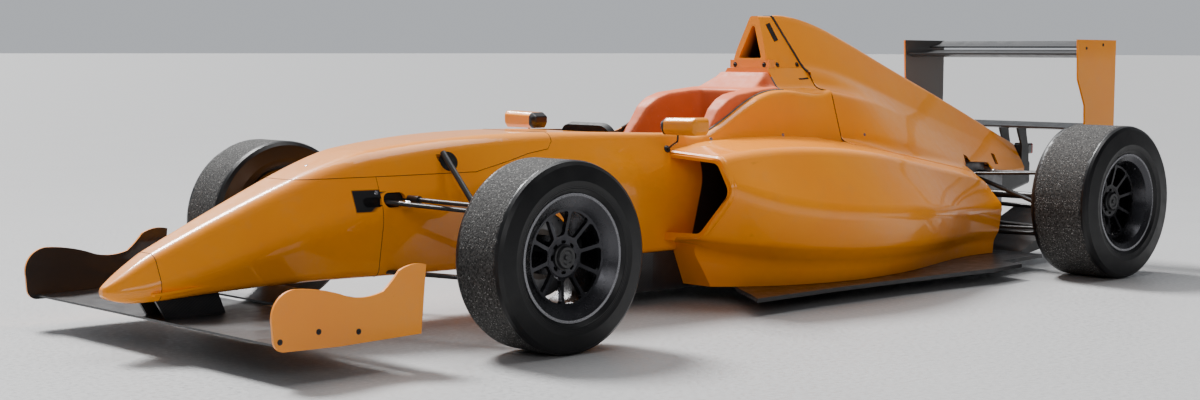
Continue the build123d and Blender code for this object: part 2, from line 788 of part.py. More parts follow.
# Wheels, made at the origin with the outer face towards +Y
def rim(tread, ring_depth):
    """Rim whose ten spokes are left between rounded windows in a shallow cone."""
    half = tread / 2 - rim_inset
    seat = half - bead_width
    ring = half - ring_depth
    face = ring - hub_sink
    lip_step = bead_width + 4
    spoke_step = 360 / spoke_count
    inner_angle = radians(spoke_step / 2) - spoke_width / 2 / window_in
    outer_angle = radians(spoke_step / 2) - spoke_width / 2 / window_out
    side = [
        (window_in * cos(inner_angle), window_in * sin(inner_angle)),
        (window_out * cos(outer_angle), window_out * sin(outer_angle)),
    ]
    window = [*side, (window_out, 0), *[(x, -y) for x, y in reversed(side)]]
    with BuildPart() as wheel:
        with BuildSketch(Plane.YZ):
            Polygon(
                (half, flange_r - lip_wall), (half - lip_step, flange_r - lip_wall - lip_slope * lip_step),
                (ring, ring_r), (ring - spoke_thickness, ring_r), (ring - 2 * spoke_thickness, barrel_r),
                (-seat, barrel_r), (-half, flange_r - lip_wall), (-half, flange_r),
                (-half + flange_lip, flange_r), (-seat, bead_r), (seat, bead_r), (half - flange_lip, flange_r),
                (half, flange_r), align=None,
            )
            Polygon(
                (ring, ring_r + 2), (face, hub_r), (face - spoke_thickness, hub_r),
                (ring - spoke_thickness, ring_r + 2), align=None,
            )
            Polygon(
                (hub_back, 0), (hub_back, hub_r), (hub_back + hub_flange, hub_r),
                (hub_back + hub_flange, hub_barrel_r), (face - spoke_thickness, hub_barrel_r),
                (face - spoke_thickness, hub_r), (face, hub_r), (face, wheel_nut_r),
                (face + wheel_nut_height, wheel_nut_r), (face + wheel_nut_height, 0), align=None,
            )
        revolve(axis=Axis.Y)
        with BuildSketch(Plane(origin=(0, half, 0), x_dir=(1, 0, 0), z_dir=(0, -1, 0))) as windows:
            with PolarLocations(0, spoke_count, start_angle=spoke_phase + spoke_step / 2):
                Polygon(*window, align=None)
            fillet(windows.vertices(), window_edge)
        extrude(amount=half - face + spoke_thickness + 1, mode=Mode.SUBTRACT)
        with BuildSketch(Plane(origin=(0, hub_back, 0), x_dir=(1, 0, 0), z_dir=(0, 1, 0))):
            Circle(spindle_r + running_gap)
        extrude(amount=spindle_room - hub_back, mode=Mode.SUBTRACT)
        with BuildSketch(Plane(origin=(0, face, 0), x_dir=(1, 0, 0), z_dir=(0, -1, 0))):
            with PolarLocations(drive_hole_ring, drive_hole_count):
                SlotOverall(17, 9, rotation=90)
        extrude(amount=spoke_thickness, mode=Mode.SUBTRACT)
    return wheel.part


def tyre(tread, radius):
    """Slick tyre: beads, bulged sidewalls, rounded shoulders and a flat tread."""
    half = tread / 2
    seat = half - rim_inset - bead_width - bead_gap
    right = [
        (seat, bead_r + bead_gap), (seat + bead_width - flange_lip, flange_r + bead_gap),
        (half + bulge * 0.6, flange_r + 12), (half + bulge, bulge_r),
        (half + bulge / 3, radius - shoulder_drop), (half - shoulder_in / 3, radius - shoulder_drop / 4),
        (half - shoulder_in, radius),
    ]
    left = [(-a, r) for a, r in reversed(right)]
    with BuildPart() as ring:
        with BuildSketch(Plane.YZ):
            Polygon(*right, *left, align=None)
        revolve(axis=Axis.Y)
    return ring.part


with BuildPart() as disc:
    with BuildSketch(Plane.YZ):
        Polygon(
            (disc_back, bell_r), (disc_back, disc_r), (disc_back + disc_thickness, disc_r),
            (disc_back + disc_thickness, hub_r), (hub_back - bead_gap, hub_r), (hub_back - bead_gap, bell_r), align=None,
        )
    revolve(axis=Axis.Y)

front_rim = rim(front_tread, front_ring_depth)
rear_rim = rim(rear_tread, rear_ring_depth)
front_tyre = tyre(front_tread, front_tyre_r)
rear_tyre = tyre(rear_tread, rear_tyre_r)

axles = [
    ("front", 0.0, front_wheel_y, front_tyre_r, front_rim, front_tyre),
    ("rear", rear_axle, rear_wheel_y, rear_tyre_r, rear_rim, rear_tyre),
]
for axle, distance, wheel_y, radius, rim_part, tyre_part in axles:
    for kind, piece in (("rim", rim_part), ("tyre", tyre_part), ("brake_disc", disc.part)):
        left = piece.moved(Location((ahead(distance), wheel_y, radius)))
        save(left, f"{kind}_{axle}_left")
        save(mirror(left, about=Plane.XZ), f"{kind}_{axle}_right")

# Brake caliper over the back of a disc, at the origin like the wheels
caliper_gap = 5.0
caliper_in = -84.0
caliper_out = -26.0
with BuildPart() as caliper:
    with BuildSketch(Plane(origin=(0, caliper_in, 0), x_dir=(1, 0, 0), z_dir=(0, 1, 0))):
        with Locations((-108, 0)):
            RectangleRounded(64, 78, 12)
    extrude(amount=caliper_out - caliper_in)
    with BuildSketch(Plane(origin=(0, disc_back - caliper_gap, 0), x_dir=(1, 0, 0), z_dir=(0, 1, 0))):
        Circle(disc_r + caliper_gap)
    extrude(amount=disc_thickness + 2 * caliper_gap, mode=Mode.SUBTRACT)


def spindle(distance, wheel_y, radius, boss_start):
    """Hub boss and spindle that carry a wheel, along Y."""
    centre = point(distance, 0, radius)
    boss_end = wheel_y + disc_back - 8
    with BuildPart() as piece:
        add(rod(centre + Vector(0, boss_start, 0), centre + Vector(0, boss_end, 0), bell_r - 5))
        add(rod(centre + Vector(0, boss_start, 0), centre + Vector(0, wheel_y + spindle_reach, 0), spindle_r))
    return piece.part


# Front upright, which steers about its kingpin and carries the caliper
post_half = 15.0
track_eye = 9.0
half_eye = eye_height / 2 + seat_gap
with BuildPart() as front_upright:
    add(
        side_slab(
            [
                (-24, lower_joint_z + half_eye), (24, lower_joint_z + half_eye), (34, 230), (34, 330),
                (20, upper_joint_z - half_eye), (-20, upper_joint_z - half_eye), (-44, 320), (-44, 230),
            ],
            kingpin_y - post_half, kingpin_y + post_half,
        )
    )
    add(rod(point(0, kingpin_y, lower_joint_z - half_eye), point(0, kingpin_y, upper_joint_z + half_eye), pin_r))
    add(spindle(0, front_wheel_y, front_tyre_r, kingpin_y))
    add(bar(point(10, kingpin_y, steer_arm_z), point(steer_arm, kingpin_y, steer_arm_z), 20, 14))
    add(
        rod(
            point(steer_arm, kingpin_y, steer_arm_z - 7),
            point(steer_arm, kingpin_y, track_rod_z - track_eye - seat_gap), 14,
        )
    )
    add(caliper.part.moved(Location(point(0, front_wheel_y, front_tyre_r))))
    add(
        side_slab(
            [(-30, 245), (-30, 300), (-84, 305), (-124, 295), (-124, 250), (-84, 240)],
            kingpin_y, front_wheel_y + caliper_in + 1,
        )
    )
save(front_upright.part, "upright_front_left")
save(mirror(front_upright.part, about=Plane.XZ), "upright_front_right")

# Steering rack with the two track rods, which slides along Y
with BuildPart() as track_rods:
    add(rod(point(steer_arm, -rack_half - 90, track_rod_z), point(steer_arm, rack_half + 90, track_rod_z), rack_r))
    for side in (1, -1):
        ball = point(steer_arm, side * kingpin_y, track_rod_z)
        add(rod(point(steer_arm, 0, track_rod_z), ball, track_rod_r))
        add(rod(ball - Vector(0, 0, track_eye), ball + Vector(0, 0, track_eye), 13))
save(track_rods.part, "track_rods")

# Front wishbones
upper_front = [point(178, 150, 401), point(-230, 180, 410)]
lower_front = [point(159, 140, 191), point(-260, 150, 192)]
nose_clear = hull(nose_rows, seat_gap)
chassis_clear = chassis(seat_gap)
with BuildPart() as arm_clear:
    add(nose_clear)
    add(chassis_clear)
    add(recess(*arm_recess, recess_floor + seat_gap), mode=Mode.SUBTRACT)


def wishbone(inner_points, outer):
    """Two legs that meet in the eye of the outer joint."""
    with BuildPart() as piece:
        for inner in inner_points:
            add(bar(inner, outer, arm_width, arm_thickness))
        add(rod(outer - Vector(0, 0, eye_height / 2), outer + Vector(0, 0, eye_height / 2), eye_r))
        add(rod(outer - Vector(0, 0, eye_height), outer + Vector(0, 0, eye_height), pin_r + pin_gap), mode=Mode.SUBTRACT)
        add(arm_clear.part, mode=Mode.SUBTRACT)
    return piece.part


upper_arm = wishbone(upper_front, point(0, kingpin_y, upper_joint_z))
lower_arm = wishbone(lower_front, point(0, kingpin_y, lower_joint_z))
save(both_sides(Compound([*upper_arm.solids(), *lower_arm.solids()])), "front_wishbones")
with BuildPart() as pushrod:
    add(rod(pushrod_foot, pushrod_head - pushrod_line * seat_gap, rod_r))
    add(lower_arm, mode=Mode.SUBTRACT)
save(both_sides(pushrod.part), "front_pushrods")

# Rear suspension
rear_upper = [point(rear_axle + 68, 100, 358), point(rear_axle - 150, 100, 358)]
rear_lower = [point(rear_axle + 64, 100, 152), point(rear_axle - 86, 100, 166)]
upright_face = rear_upright_y - seat_gap
ear_thickness = 11.0
upright_line = [
    (-26, 160), (26, 160), (42, 240), (42, 330), (24, 412), (-24, 412), (-60, 330), (-120, 250), (-120, 215),
    (-60, 215),
]
ear_line = [(0, 140), (80, 140), (92, 165), (92, 250), (30, 280), (0, 200)]
caliper_arm = [(-30, 260), (-30, 312), (-84, 317), (-124, 307), (-124, 262), (-84, 252)]
with BuildPart() as rear_upright:
    add(side_slab([(rear_axle + d, z) for d, z in upright_line], rear_upright_y, rear_upright_y + 2 * post_half))
    add(side_slab([(rear_axle + d, z) for d, z in ear_line], rear_upright_y, rear_upright_y + ear_thickness))
    add(spindle(rear_axle, rear_wheel_y, rear_tyre_r, rear_upright_y))
    add(caliper.part.moved(Location(point(rear_axle, rear_wheel_y, rear_tyre_r))))
    add(side_slab([(rear_axle + d, z) for d, z in caliper_arm], rear_upright_y, rear_wheel_y + caliper_in + 1))
save(both_sides(rear_upright.part), "rear_uprights")
with BuildPart() as beyond:
    with BuildSketch(along(wheelbase)):
        with Locations((rear_axle, 300)):
            Rectangle(1200, 1200)
    extrude(amount=wheelbase - upright_face)


def rear_link(start, end, width, thickness):
    """Link between gearbox and upright, cut off where they begin."""
    with BuildPart() as piece:
        add(bar(start, end, width, thickness))
        add(beyond.part, mode=Mode.SUBTRACT)
        add(gearbox.part, mode=Mode.SUBTRACT)
    return piece.part


with BuildPart() as rear_links:
    for inner in rear_upper:
        add(rear_link(inner, point(rear_axle + 22, 640, 384), arm_width, arm_thickness))
    for inner in rear_lower:
        add(rear_link(inner, point(rear_axle + 52, 640, 172), arm_width, arm_thickness))
save(both_sides(rear_links.part), "rear_wishbones")
with BuildPart() as rear_rods:
    add(rear_link(point(rear_axle - 130, 100, 235), point(rear_axle - 100, 640, 232), 18, 17))
    add(rear_link(point(rear_axle + 28, 100, 384), point(rear_axle + 70, 640, 232), 18, 17))
    add(rear_link(point(rear_axle - 30, 100, 126), point(rear_axle + 60, 640, 150), 18, 17))
    add(rear_links.part, mode=Mode.SUBTRACT)
save(both_sides(rear_rods.part), "rear_rods")
driveshaft_r = 14.0
save(
    both_sides(
        rod(
            point(rear_axle, gearbox_half + seat_gap, rear_tyre_r), point(rear_axle, upright_face, rear_tyre_r),
            driveshaft_r,
        )
    ),
    "driveshafts",
)

# Mirrors on their stays
mirror_low = 575.0
mirror_outline = [
    (310, 592), (322, mirror_low), (466, mirror_low), (478, 590), (478, 624), (468, 633), (332, 630), (310, 616),
]
mirror_back = -884.0
mirror_depth = 66.0
with BuildPart() as mirror_left:
    with BuildSketch(across(mirror_back)):
        Polygon(*mirror_outline, align=None)
    extrude(amount=mirror_depth)
    chamfer(mirror_left.edges().group_by(Axis.X)[-1], 12)
save(both_sides(mirror_left.part), "mirrors")
stay_r = 6.0
stay_line = [
    point(-811, 222, 510), point(-819, 302, 534), point(-840, 374, 552), point(-840, 376, mirror_low - seat_gap),
]
with BuildPart() as stay:
    for start, end in zip(stay_line, stay_line[1:]):
        add(rod(start, end, stay_r))
    with Locations(*stay_line[1:-1]):
        Sphere(stay_r)
    add(chassis_clear, mode=Mode.SUBTRACT)
save(both_sides(stay.part), "mirror_stays")

# Wing pylons
with BuildPart() as nose_pylon:
    add(side_slab([(915, 230), (700, 230), (650, 98), (840, 98)], 46, 56))
    add(nose_clear, mode=Mode.SUBTRACT)
    add(hull(tip_rows, seat_gap), mode=Mode.SUBTRACT)
    add(front_plane.part, mode=Mode.SUBTRACT)
save(both_sides(nose_pylon.part), "front_wing_pylons")
swan_neck = [
    (-521, 340), (-578, 335), (-574, 430), (-556, 500), (-552, beam_z - 4), (-488, beam_z - 4), (-498, 505),
    (-524, 450),
]
with BuildPart() as tail_pylon:
    add(side_slab([(rear_axle + d, z) for d, z in swan_neck], 40, 49))
    add(crash_structure.part, mode=Mode.SUBTRACT)
    add(beam.part, mode=Mode.SUBTRACT)
save(both_sides(tail_pylon.part), "rear_wing_pylons")
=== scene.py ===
"""The looks of an open wheel racing car: finishes, foam, seams, bolts and fittings around its frame."""

from math import atan2, copysign, cos, pi, radians, sin

import bmesh
import bpy
from mathutils import Matrix, Vector
from mathutils.bvhtree import BVHTree


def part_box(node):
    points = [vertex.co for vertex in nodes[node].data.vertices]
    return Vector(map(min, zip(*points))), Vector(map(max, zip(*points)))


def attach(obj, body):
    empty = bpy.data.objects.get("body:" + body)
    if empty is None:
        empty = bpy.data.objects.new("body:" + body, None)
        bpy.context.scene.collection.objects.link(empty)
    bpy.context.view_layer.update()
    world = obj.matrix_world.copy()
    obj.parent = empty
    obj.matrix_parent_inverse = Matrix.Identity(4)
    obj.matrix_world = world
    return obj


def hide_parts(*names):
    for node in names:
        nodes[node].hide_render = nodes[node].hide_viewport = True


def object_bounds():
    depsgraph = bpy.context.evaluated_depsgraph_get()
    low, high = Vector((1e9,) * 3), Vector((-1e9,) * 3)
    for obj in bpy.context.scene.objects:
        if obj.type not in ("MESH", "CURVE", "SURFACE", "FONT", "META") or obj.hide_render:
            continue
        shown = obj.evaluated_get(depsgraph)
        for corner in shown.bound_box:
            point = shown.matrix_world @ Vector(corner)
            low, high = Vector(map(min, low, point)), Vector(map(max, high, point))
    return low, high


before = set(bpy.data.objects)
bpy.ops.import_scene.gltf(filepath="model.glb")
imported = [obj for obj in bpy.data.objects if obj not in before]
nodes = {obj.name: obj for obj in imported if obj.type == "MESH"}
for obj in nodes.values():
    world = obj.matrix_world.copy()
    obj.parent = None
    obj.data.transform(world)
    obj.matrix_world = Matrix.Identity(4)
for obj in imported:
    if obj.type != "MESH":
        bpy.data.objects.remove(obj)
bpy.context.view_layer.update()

# Sizes in millimetres; distances along the car are given ahead of the front axle, as in the model
MM = 0.001
SIDES = (1, -1)
LEFT = Vector((0, 1, 0))
UP = Vector((0, 0, 1))
FORWARD = Vector((1, 0, 0))
low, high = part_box("rim_front_left")
FRONT_AXLE = (low + high).x / 2


def spot(ahead, y, z):
    """Place in metres from millimetres: distance ahead of the front axle, to the left, and up."""
    return Vector((FRONT_AXLE + ahead * MM, y * MM, z * MM))


def sided(side, places):
    """Places in mm of the left side, on one side of the car."""
    return [(ahead, side * y, z) for ahead, y, z in places]


# Objects and meshes
def put(name, data):
    """A new object of the scene that holds some data."""
    thing = bpy.data.objects.new(name, data)
    bpy.context.scene.collection.objects.link(thing)
    return thing


def stored(name, mesh):
    """Mesh data made from a bmesh, which is freed."""
    data = bpy.data.meshes.new(name)
    mesh.to_mesh(data)
    mesh.free()
    return data


def cover_with(data, finish):
    """Give mesh data one material in place of its own."""
    data.materials.clear()
    data.materials.append(finish)


def smooth(thing, angle):
    """Smooth shading, creased where faces meet at more than an angle in degrees."""
    bpy.context.view_layer.objects.active = thing
    thing.select_set(True)
    bpy.ops.object.shade_smooth_by_angle(angle=radians(angle))
    thing.select_set(False)


def modify(thing, kind, **settings):
    """Put a modifier with its settings on an object."""
    modifier = thing.modifiers.new(kind.title(), kind)
    for key, value in settings.items():
        setattr(modifier, key, value)


def evaluated(thing):
    """New mesh data of an object with its modifiers applied."""
    view = bpy.context.evaluated_depsgraph_get()
    return bpy.data.meshes.new_from_object(thing.evaluated_get(view))


# Materials
class Nodes:
    """Shader nodes of a material or a world."""

    def __init__(self, owner):
        owner.use_nodes = True
        self.tree = owner.node_tree


class Look(Nodes):
    """A procedural material on the principled shader."""

    def __init__(self, name, **numbers):
        self.material = bpy.data.materials.new(name)
        super().__init__(self.material)
        self.shader = self.tree.nodes["Principled BSDF"]
        for key, value in numbers.items():
            self.shader.inputs[key.replace("_", " ")].default_value = value
        self.coords = add(self, "ShaderNodeTexCoord")
        self.place = self.coords.outputs["Object"]

    def axes(self, vector=None):
        """The x, y and z of a vector, or of the place."""
        split = add(self, "ShaderNodeSeparateXYZ", {0: vector or self.place})
        return split.outputs[0], split.outputs[1], split.outputs[2]

    def set(self, **sockets):
        """Link sockets to the shader's inputs; the finished material is returned."""
        for key, value in sockets.items():
            self.tree.links.new(value, self.shader.inputs[key.replace("_", " ")])
        return self.material


def add(look, kind, links=None, **settings):
    """A new node with its settings, and its inputs set to values or linked to sockets."""
    node = look.tree.nodes.new(kind)
    for key, value in settings.items():
        setattr(node, key, value)
    for key, value in (links or {}).items():
        if isinstance(value, bpy.types.NodeSocket):
            look.tree.links.new(value, node.inputs[key])
        else:
            node.inputs[key].default_value = value
    return node


def calc(look, operation, first, second=0.0):
    """Result of a math node."""
    return add(look, "ShaderNodeMath", {0: first, 1: second}, operation=operation).outputs[0]


def times(look, *values):
    """Product of all the values."""
    product = values[0]
    for value in values[1:]:
        product = calc(look, "MULTIPLY", product, value)
    return product


def waves(look, value, length):
    """Sine waves of a length in metres along a value."""
    return calc(look, "SINE", times(look, value, 2 * pi / length))


def noise(look, scale, detail, rough=0.55, vector=None):
    """Noise value with so many grains to a metre."""
    links = {"Vector": vector or look.place, "Scale": scale, "Detail": detail, "Roughness": rough}
    return add(look, "ShaderNodeTexNoise", links).outputs["Fac"]


def span(look, value, low, high, to_low=0.0, to_high=1.0):
    """The value's range mapped to another, held at both ends."""
    links = {0: value, 1: low, 2: high, 3: to_low, 4: to_high}
    return add(look, "ShaderNodeMapRange", links).outputs[0]


def blend(look, share, first, second):
    """Colour between two colours."""
    first, second = [(*color, 1) if isinstance(color, tuple) else color for color in (first, second)]
    return add(look, "ShaderNodeMix", {0: share, 6: first, 7: second}, data_type="RGBA").outputs[2]


def specks(look, scale, core, edge, rare):
    """Round specks in so many cells to a metre, of which only those with a tint above rare are filled."""
    cells = add(look, "ShaderNodeTexVoronoi", {"Vector": look.place, "Scale": scale}, feature="F1")
    speck = span(look, cells.outputs["Distance"], core, edge, 1.0, 0.0)
    tint = add(look, "ShaderNodeSeparateColor", {0: cells.outputs["Color"]}).outputs[0]
    return times(look, speck, calc(look, "GREATER_THAN", tint, rare))


def dent(look, height, depth, strength, under=None):
    """Bump of a height map, on top of another bump."""
    links = {"Height": height, "Distance": depth, "Strength": strength}
    if under is not None:
        links["Normal"] = under
    return add(look, "ShaderNodeBump", links).outputs["Normal"]


# Colours as linear red, green and blue
ORANGE = (1.0, 0.325, 0.0)
ORANGE_DEEP = (0.98, 0.290, 0.0)
CHIPPED = (0.30, 0.13, 0.03)
ROAD_DUST = (0.42, 0.36, 0.28)
# Black of painted shade, in the ducts, the nose's pocket and the roof intake
BLACK = (0.006, 0.006, 0.007)
SOFT_BLACK = (0.010, 0.010, 0.011)
# Bare composite of the cockpit, also painted shade in the tub's recesses and beside the ducts
BARE_TUB_AND_SHADE = (0.020, 0.019, 0.018)
FRONT_PLATE_BLACK = (0.014, 0.014, 0.015)
REAR_PLATE_GREY = (0.075, 0.073, 0.072)
CARBON = (0.005, 0.005, 0.006)
CARBON_LIGHT = (0.015, 0.015, 0.017)
CARBON_DUST = (0.10, 0.092, 0.08)
SALMON = (0.76, 0.170, 0.055)
SALMON_DEEP = (0.69, 0.138, 0.042)
SALMON_RUBBED = (0.80, 0.33, 0.19)
GREY_GREEN = (0.105, 0.110, 0.080)
TREAD = (0.009, 0.009, 0.009)
TREAD_WORN = (0.085, 0.082, 0.078)
GRAVEL = (0.42, 0.41, 0.39)
SIDEWALL = (0.003, 0.003, 0.004)
SIDEWALL_GREY = (0.008, 0.008, 0.008)
SCUFFED = (0.12, 0.115, 0.11)
WHEEL = (0.030, 0.030, 0.034)
WHEEL_LIGHT = (0.050, 0.050, 0.056)
WHEEL_DISH = (0.060, 0.060, 0.066)
# Painted highlight: the wheel's lip lighter grey in place of its reflection
WHEEL_LIP_HIGHLIGHT = (0.22, 0.22, 0.235)
BRAKE_DUST = (0.020, 0.019, 0.018)
IRON = (0.10, 0.085, 0.075)
IRON_SWEPT = (0.36, 0.36, 0.37)
IRON_STAINED = (0.16, 0.13, 0.11)
LENS_DEEP = (0.16, 0.004, 0.004)
LENS_RED = (0.60, 0.015, 0.012)
MIRROR = (0.82, 0.83, 0.85)
MIRROR_SMEARED = (0.70, 0.71, 0.73)
FLOOR_GREY = (0.39, 0.39, 0.39)
FLOOR_LIGHT = (0.43, 0.43, 0.43)
SKY_PALE = (0.50, 0.52, 0.55)
SKY_DARK = (0.10, 0.10, 0.11)

# Boxes of the model whose inside is dark, bare composite in the cockpit and painted shade in the recesses,
# ducts and intake: both corners in mm, with the distance to either side
COCKPIT = ((-1570, 0, 190), (-240, 214, 640))
COCKPIT_FLOOR = ((-1570, 0, 190), (-240, 150, 430))
# Painted shade in the recesses about the rods and the arms' pivots
ROD_POCKET = ((-80, 150, 460), (0, 226, 545))
ARM_POCKET = ((100, 140, 380), (200, 174, 432))
NOSE_POCKET = ((190, 100, 374), (280, 184, 438))
# Painted shade: the tub's side inside the ducts and the ducts' walls are dark where shade falls
DUCT_WALL = ((-1700, 205, 225), (-1056, 300, 486))
DUCT = ((-1700, 190, 245), (-1050, 512, 482))
INTAKE = ((-1702, 0, 814), (-1592, 70, 942))


def inside(look, box, edge):
    """One inside a box of the model and nothing outside it, with a soft edge in mm."""
    x, y, z = look.axes()
    low, high = box
    ends = (
        (x, spot(low[0], 0, 0).x, spot(high[0], 0, 0).x),
        (calc(look, "ABSOLUTE", y), low[1] * MM, high[1] * MM),
        (z, low[2] * MM, high[2] * MM),
    )
    shares = []
    for value, start, end in ends:
        shares.append(span(look, value, start - edge * MM, start + edge * MM))
        shares.append(span(look, value, end + edge * MM, end - edge * MM))
    return times(look, *shares)


def paint(name, dark=None, dark_color=BLACK):
    """Gloss paint over moulded composite, with dust, fine orange peel and small stone chips."""
    look = Look(name, Coat_Weight=0.6, Coat_Roughness=0.05, Specular_IOR_Level=0.25)
    shade = blend(look, span(look, noise(look, 3.0, 4.0), 0.35, 0.7), ORANGE, ORANGE_DEEP)
    dust = span(look, noise(look, 14.0, 8.0, 0.7), 0.52, 0.8, 0.0, 0.10)
    shade = blend(look, dust, shade, ROAD_DUST)
    chip = specks(look, 75.0, 0.035, 0.05, 0.94)
    shade = blend(look, times(look, chip, 0.75), shade, CHIPPED)
    rough = span(look, noise(look, 30.0, 6.0, 0.65), 0.3, 0.75, 0.28, 0.44)
    # The dark share: painted shade in the ducts, recesses and roof intake; the own dark colour of the
    # cockpit, mirror ends and endplates' inner faces
    if dark:
        share = dark(look)
        shade = blend(look, share, shade, dark_color)
        rough = calc(look, "MAXIMUM", rough, times(look, share, 0.5))
    peel = dent(look, noise(look, 130.0, 2.0), 0.0012, 0.06)
    peel = dent(look, chip, 0.0003, -0.5, peel)
    look.set(Coat_Normal=dent(look, noise(look, 90.0, 2.0), 0.0010, 0.05))
    return look.set(Base_Color=shade, Roughness=rough, Normal=peel)


def carbon():
    """Satin lacquered twill weave."""
    look = Look("carbon_weave", Coat_Weight=0.35, Coat_Roughness=0.22)
    x, y, z = look.axes()
    threads = 320.0
    warp = times(look, calc(look, "ADD", x, times(look, z, 0.6)), threads)
    weft = times(look, calc(look, "ADD", y, times(look, z, 0.8)), threads)
    step = calc(look, "ADD", calc(look, "FLOOR", warp), calc(look, "FLOOR", weft))
    over = calc(look, "LESS_THAN", calc(look, "FLOORED_MODULO", step, 4.0), 2.0)
    arch_warp = calc(look, "PINGPONG", warp, 0.5)
    arch_weft = calc(look, "PINGPONG", weft, 0.5)
    weave = add(look, "ShaderNodeMix", {0: over, 2: arch_weft, 3: arch_warp}, data_type="FLOAT").outputs[0]
    shade = blend(look, over, CARBON, CARBON_LIGHT)
    dust = span(look, noise(look, 11.0, 8.0, 0.7), 0.5, 0.8, 0.0, 0.18)
    shade = blend(look, dust, shade, CARBON_DUST)
    smudges = span(look, noise(look, 24.0, 5.0), 0.3, 0.7, 0.34, 0.52)
    rough = calc(look, "ADD", smudges, times(look, over, 0.06))
    return look.set(Base_Color=shade, Roughness=rough, Normal=dent(look, weave, 0.0003, 0.35))


def foam_skin():
    """Headrest foam: salmon skin with fine pores and rubbed edges, and a grey green wrap at its front."""
    look = Look("foam_skin", Specular_IOR_Level=0.22)
    shade = blend(look, span(look, noise(look, 7.0, 4.0), 0.35, 0.7), SALMON, SALMON_DEEP)
    rubbed = span(look, noise(look, 60.0, 6.0, 0.7), 0.58, 0.8, 0.0, 0.3)
    shade = blend(look, rubbed, shade, SALMON_RUBBED)
    x, y, z = look.axes()
    lean, height = 0.35, 0.540
    slope = calc(look, "ADD", x, times(look, z, -lean))
    wrap = span(look, slope, spot(-1150, 0, 0).x - height * lean, spot(-1147, 0, 0).x - height * lean)
    shade = blend(look, wrap, shade, GREY_GREEN)
    rough = span(look, noise(look, 40.0, 5.0), 0.3, 0.7, 0.46, 0.62)
    swell = dent(look, noise(look, 22.0, 3.0), 0.004, 0.18)
    pores = dent(look, noise(look, 900.0, 2.0), 0.0004, 0.25, swell)
    return look.set(Base_Color=shade, Roughness=rough, Normal=pores)


def metal(name, color, rough, grain, metallic=1.0, worn=(0.0, 0.0, 0.0), wear=0.0):
    """Metal or painted metal with grain, smudges and worn spots."""
    look = Look(name, Metallic=metallic)
    other = tuple(min(1.0, c * 1.35 + 0.004) for c in color)
    shade = blend(look, span(look, noise(look, 25.0, 5.0), 0.35, 0.7), color, other)
    if wear:
        spots = span(look, noise(look, 70.0, 8.0, 0.75), 0.60, 0.72, 0.0, wear)
        shade = blend(look, spots, shade, worn)
    rough_map = span(look, noise(look, 45.0, 6.0), 0.3, 0.75, rough * 0.8, rough * 1.35)
    marks = noise(look, grain, 3.0)
    return look.set(Base_Color=shade, Roughness=rough_map, Normal=dent(look, marks, 0.0005, 0.2))


def turning(look, centre):
    """Distance from a wheel's axis, place along it outwards, and turn about it."""
    side = 1.0 if centre.y > 0 else -1.0
    x, y, z = look.axes()
    across = calc(look, "SUBTRACT", x, centre.x)
    above = calc(look, "SUBTRACT", z, centre.z)
    radius = calc(look, "SQRT", calc(look, "ADD", times(look, across, across), times(look, above, above)))
    out = times(look, calc(look, "SUBTRACT", y, centre.y), side)
    return radius, out, calc(look, "ARCTAN2", above, across)


def tyre_rubber(name, centre, radius, half_tread):
    """Slick rubber: gravel picked up by the worn tread, glossy shoulders and a ringed, scuffed sidewall."""
    look = Look(name, Specular_IOR_Level=0.32)
    distance, out, turn = turning(look, centre)
    ragged = times(look, calc(look, "SUBTRACT", noise(look, 45.0, 4.0), 0.5), 0.030)
    edge = calc(look, "ADD", calc(look, "ABSOLUTE", out), ragged)
    tread = span(look, edge, half_tread - 0.003, half_tread + 0.004, 1.0, 0.0)
    tread = times(look, tread, span(look, distance, radius - 0.020, radius - 0.014))
    grit = noise(look, 165.0, 3.0, 0.6)
    stone = specks(look, 210.0, 0.22, 0.34, 0.78)
    worn = blend(look, span(look, grit, 0.38, 0.66), TREAD, TREAD_WORN)
    worn = blend(look, stone, worn, GRAVEL)
    wall = blend(look, span(look, noise(look, 9.0, 6.0), 0.35, 0.75), SIDEWALL, SIDEWALL_GREY)
    swirl = add(look, "ShaderNodeCombineXYZ", {0: times(look, turn, 26.0), 1: times(look, distance, 9.0)})
    scuff = span(look, noise(look, 3.0, 6.0, 0.7, swirl.outputs[0]), 0.66, 0.74)
    near_edge = span(look, distance, radius - 0.060, radius - 0.020)
    wall = blend(look, times(look, scuff, near_edge, 0.5), wall, SCUFFED)
    ring_band = times(look, span(look, distance, 0.190, 0.193), span(look, distance, 0.206, 0.203))
    rings = times(look, waves(look, distance, 0.0045), ring_band)
    rough = span(look, noise(look, 30.0, 5.0), 0.3, 0.7, 0.30, 0.44)
    rough = add(look, "ShaderNodeMix", {0: tread, 2: rough, 3: 0.82}, data_type="FLOAT").outputs[0]
    rubber = dent(look, rings, 0.0006, 0.5)
    rough_tread = dent(look, times(look, tread, grit), 0.004, 0.8, rubber)
    gravel = dent(look, times(look, tread, stone), 0.0012, 0.7, rough_tread)
    return look.set(Base_Color=blend(look, tread, wall, worn), Roughness=rough, Normal=gravel)


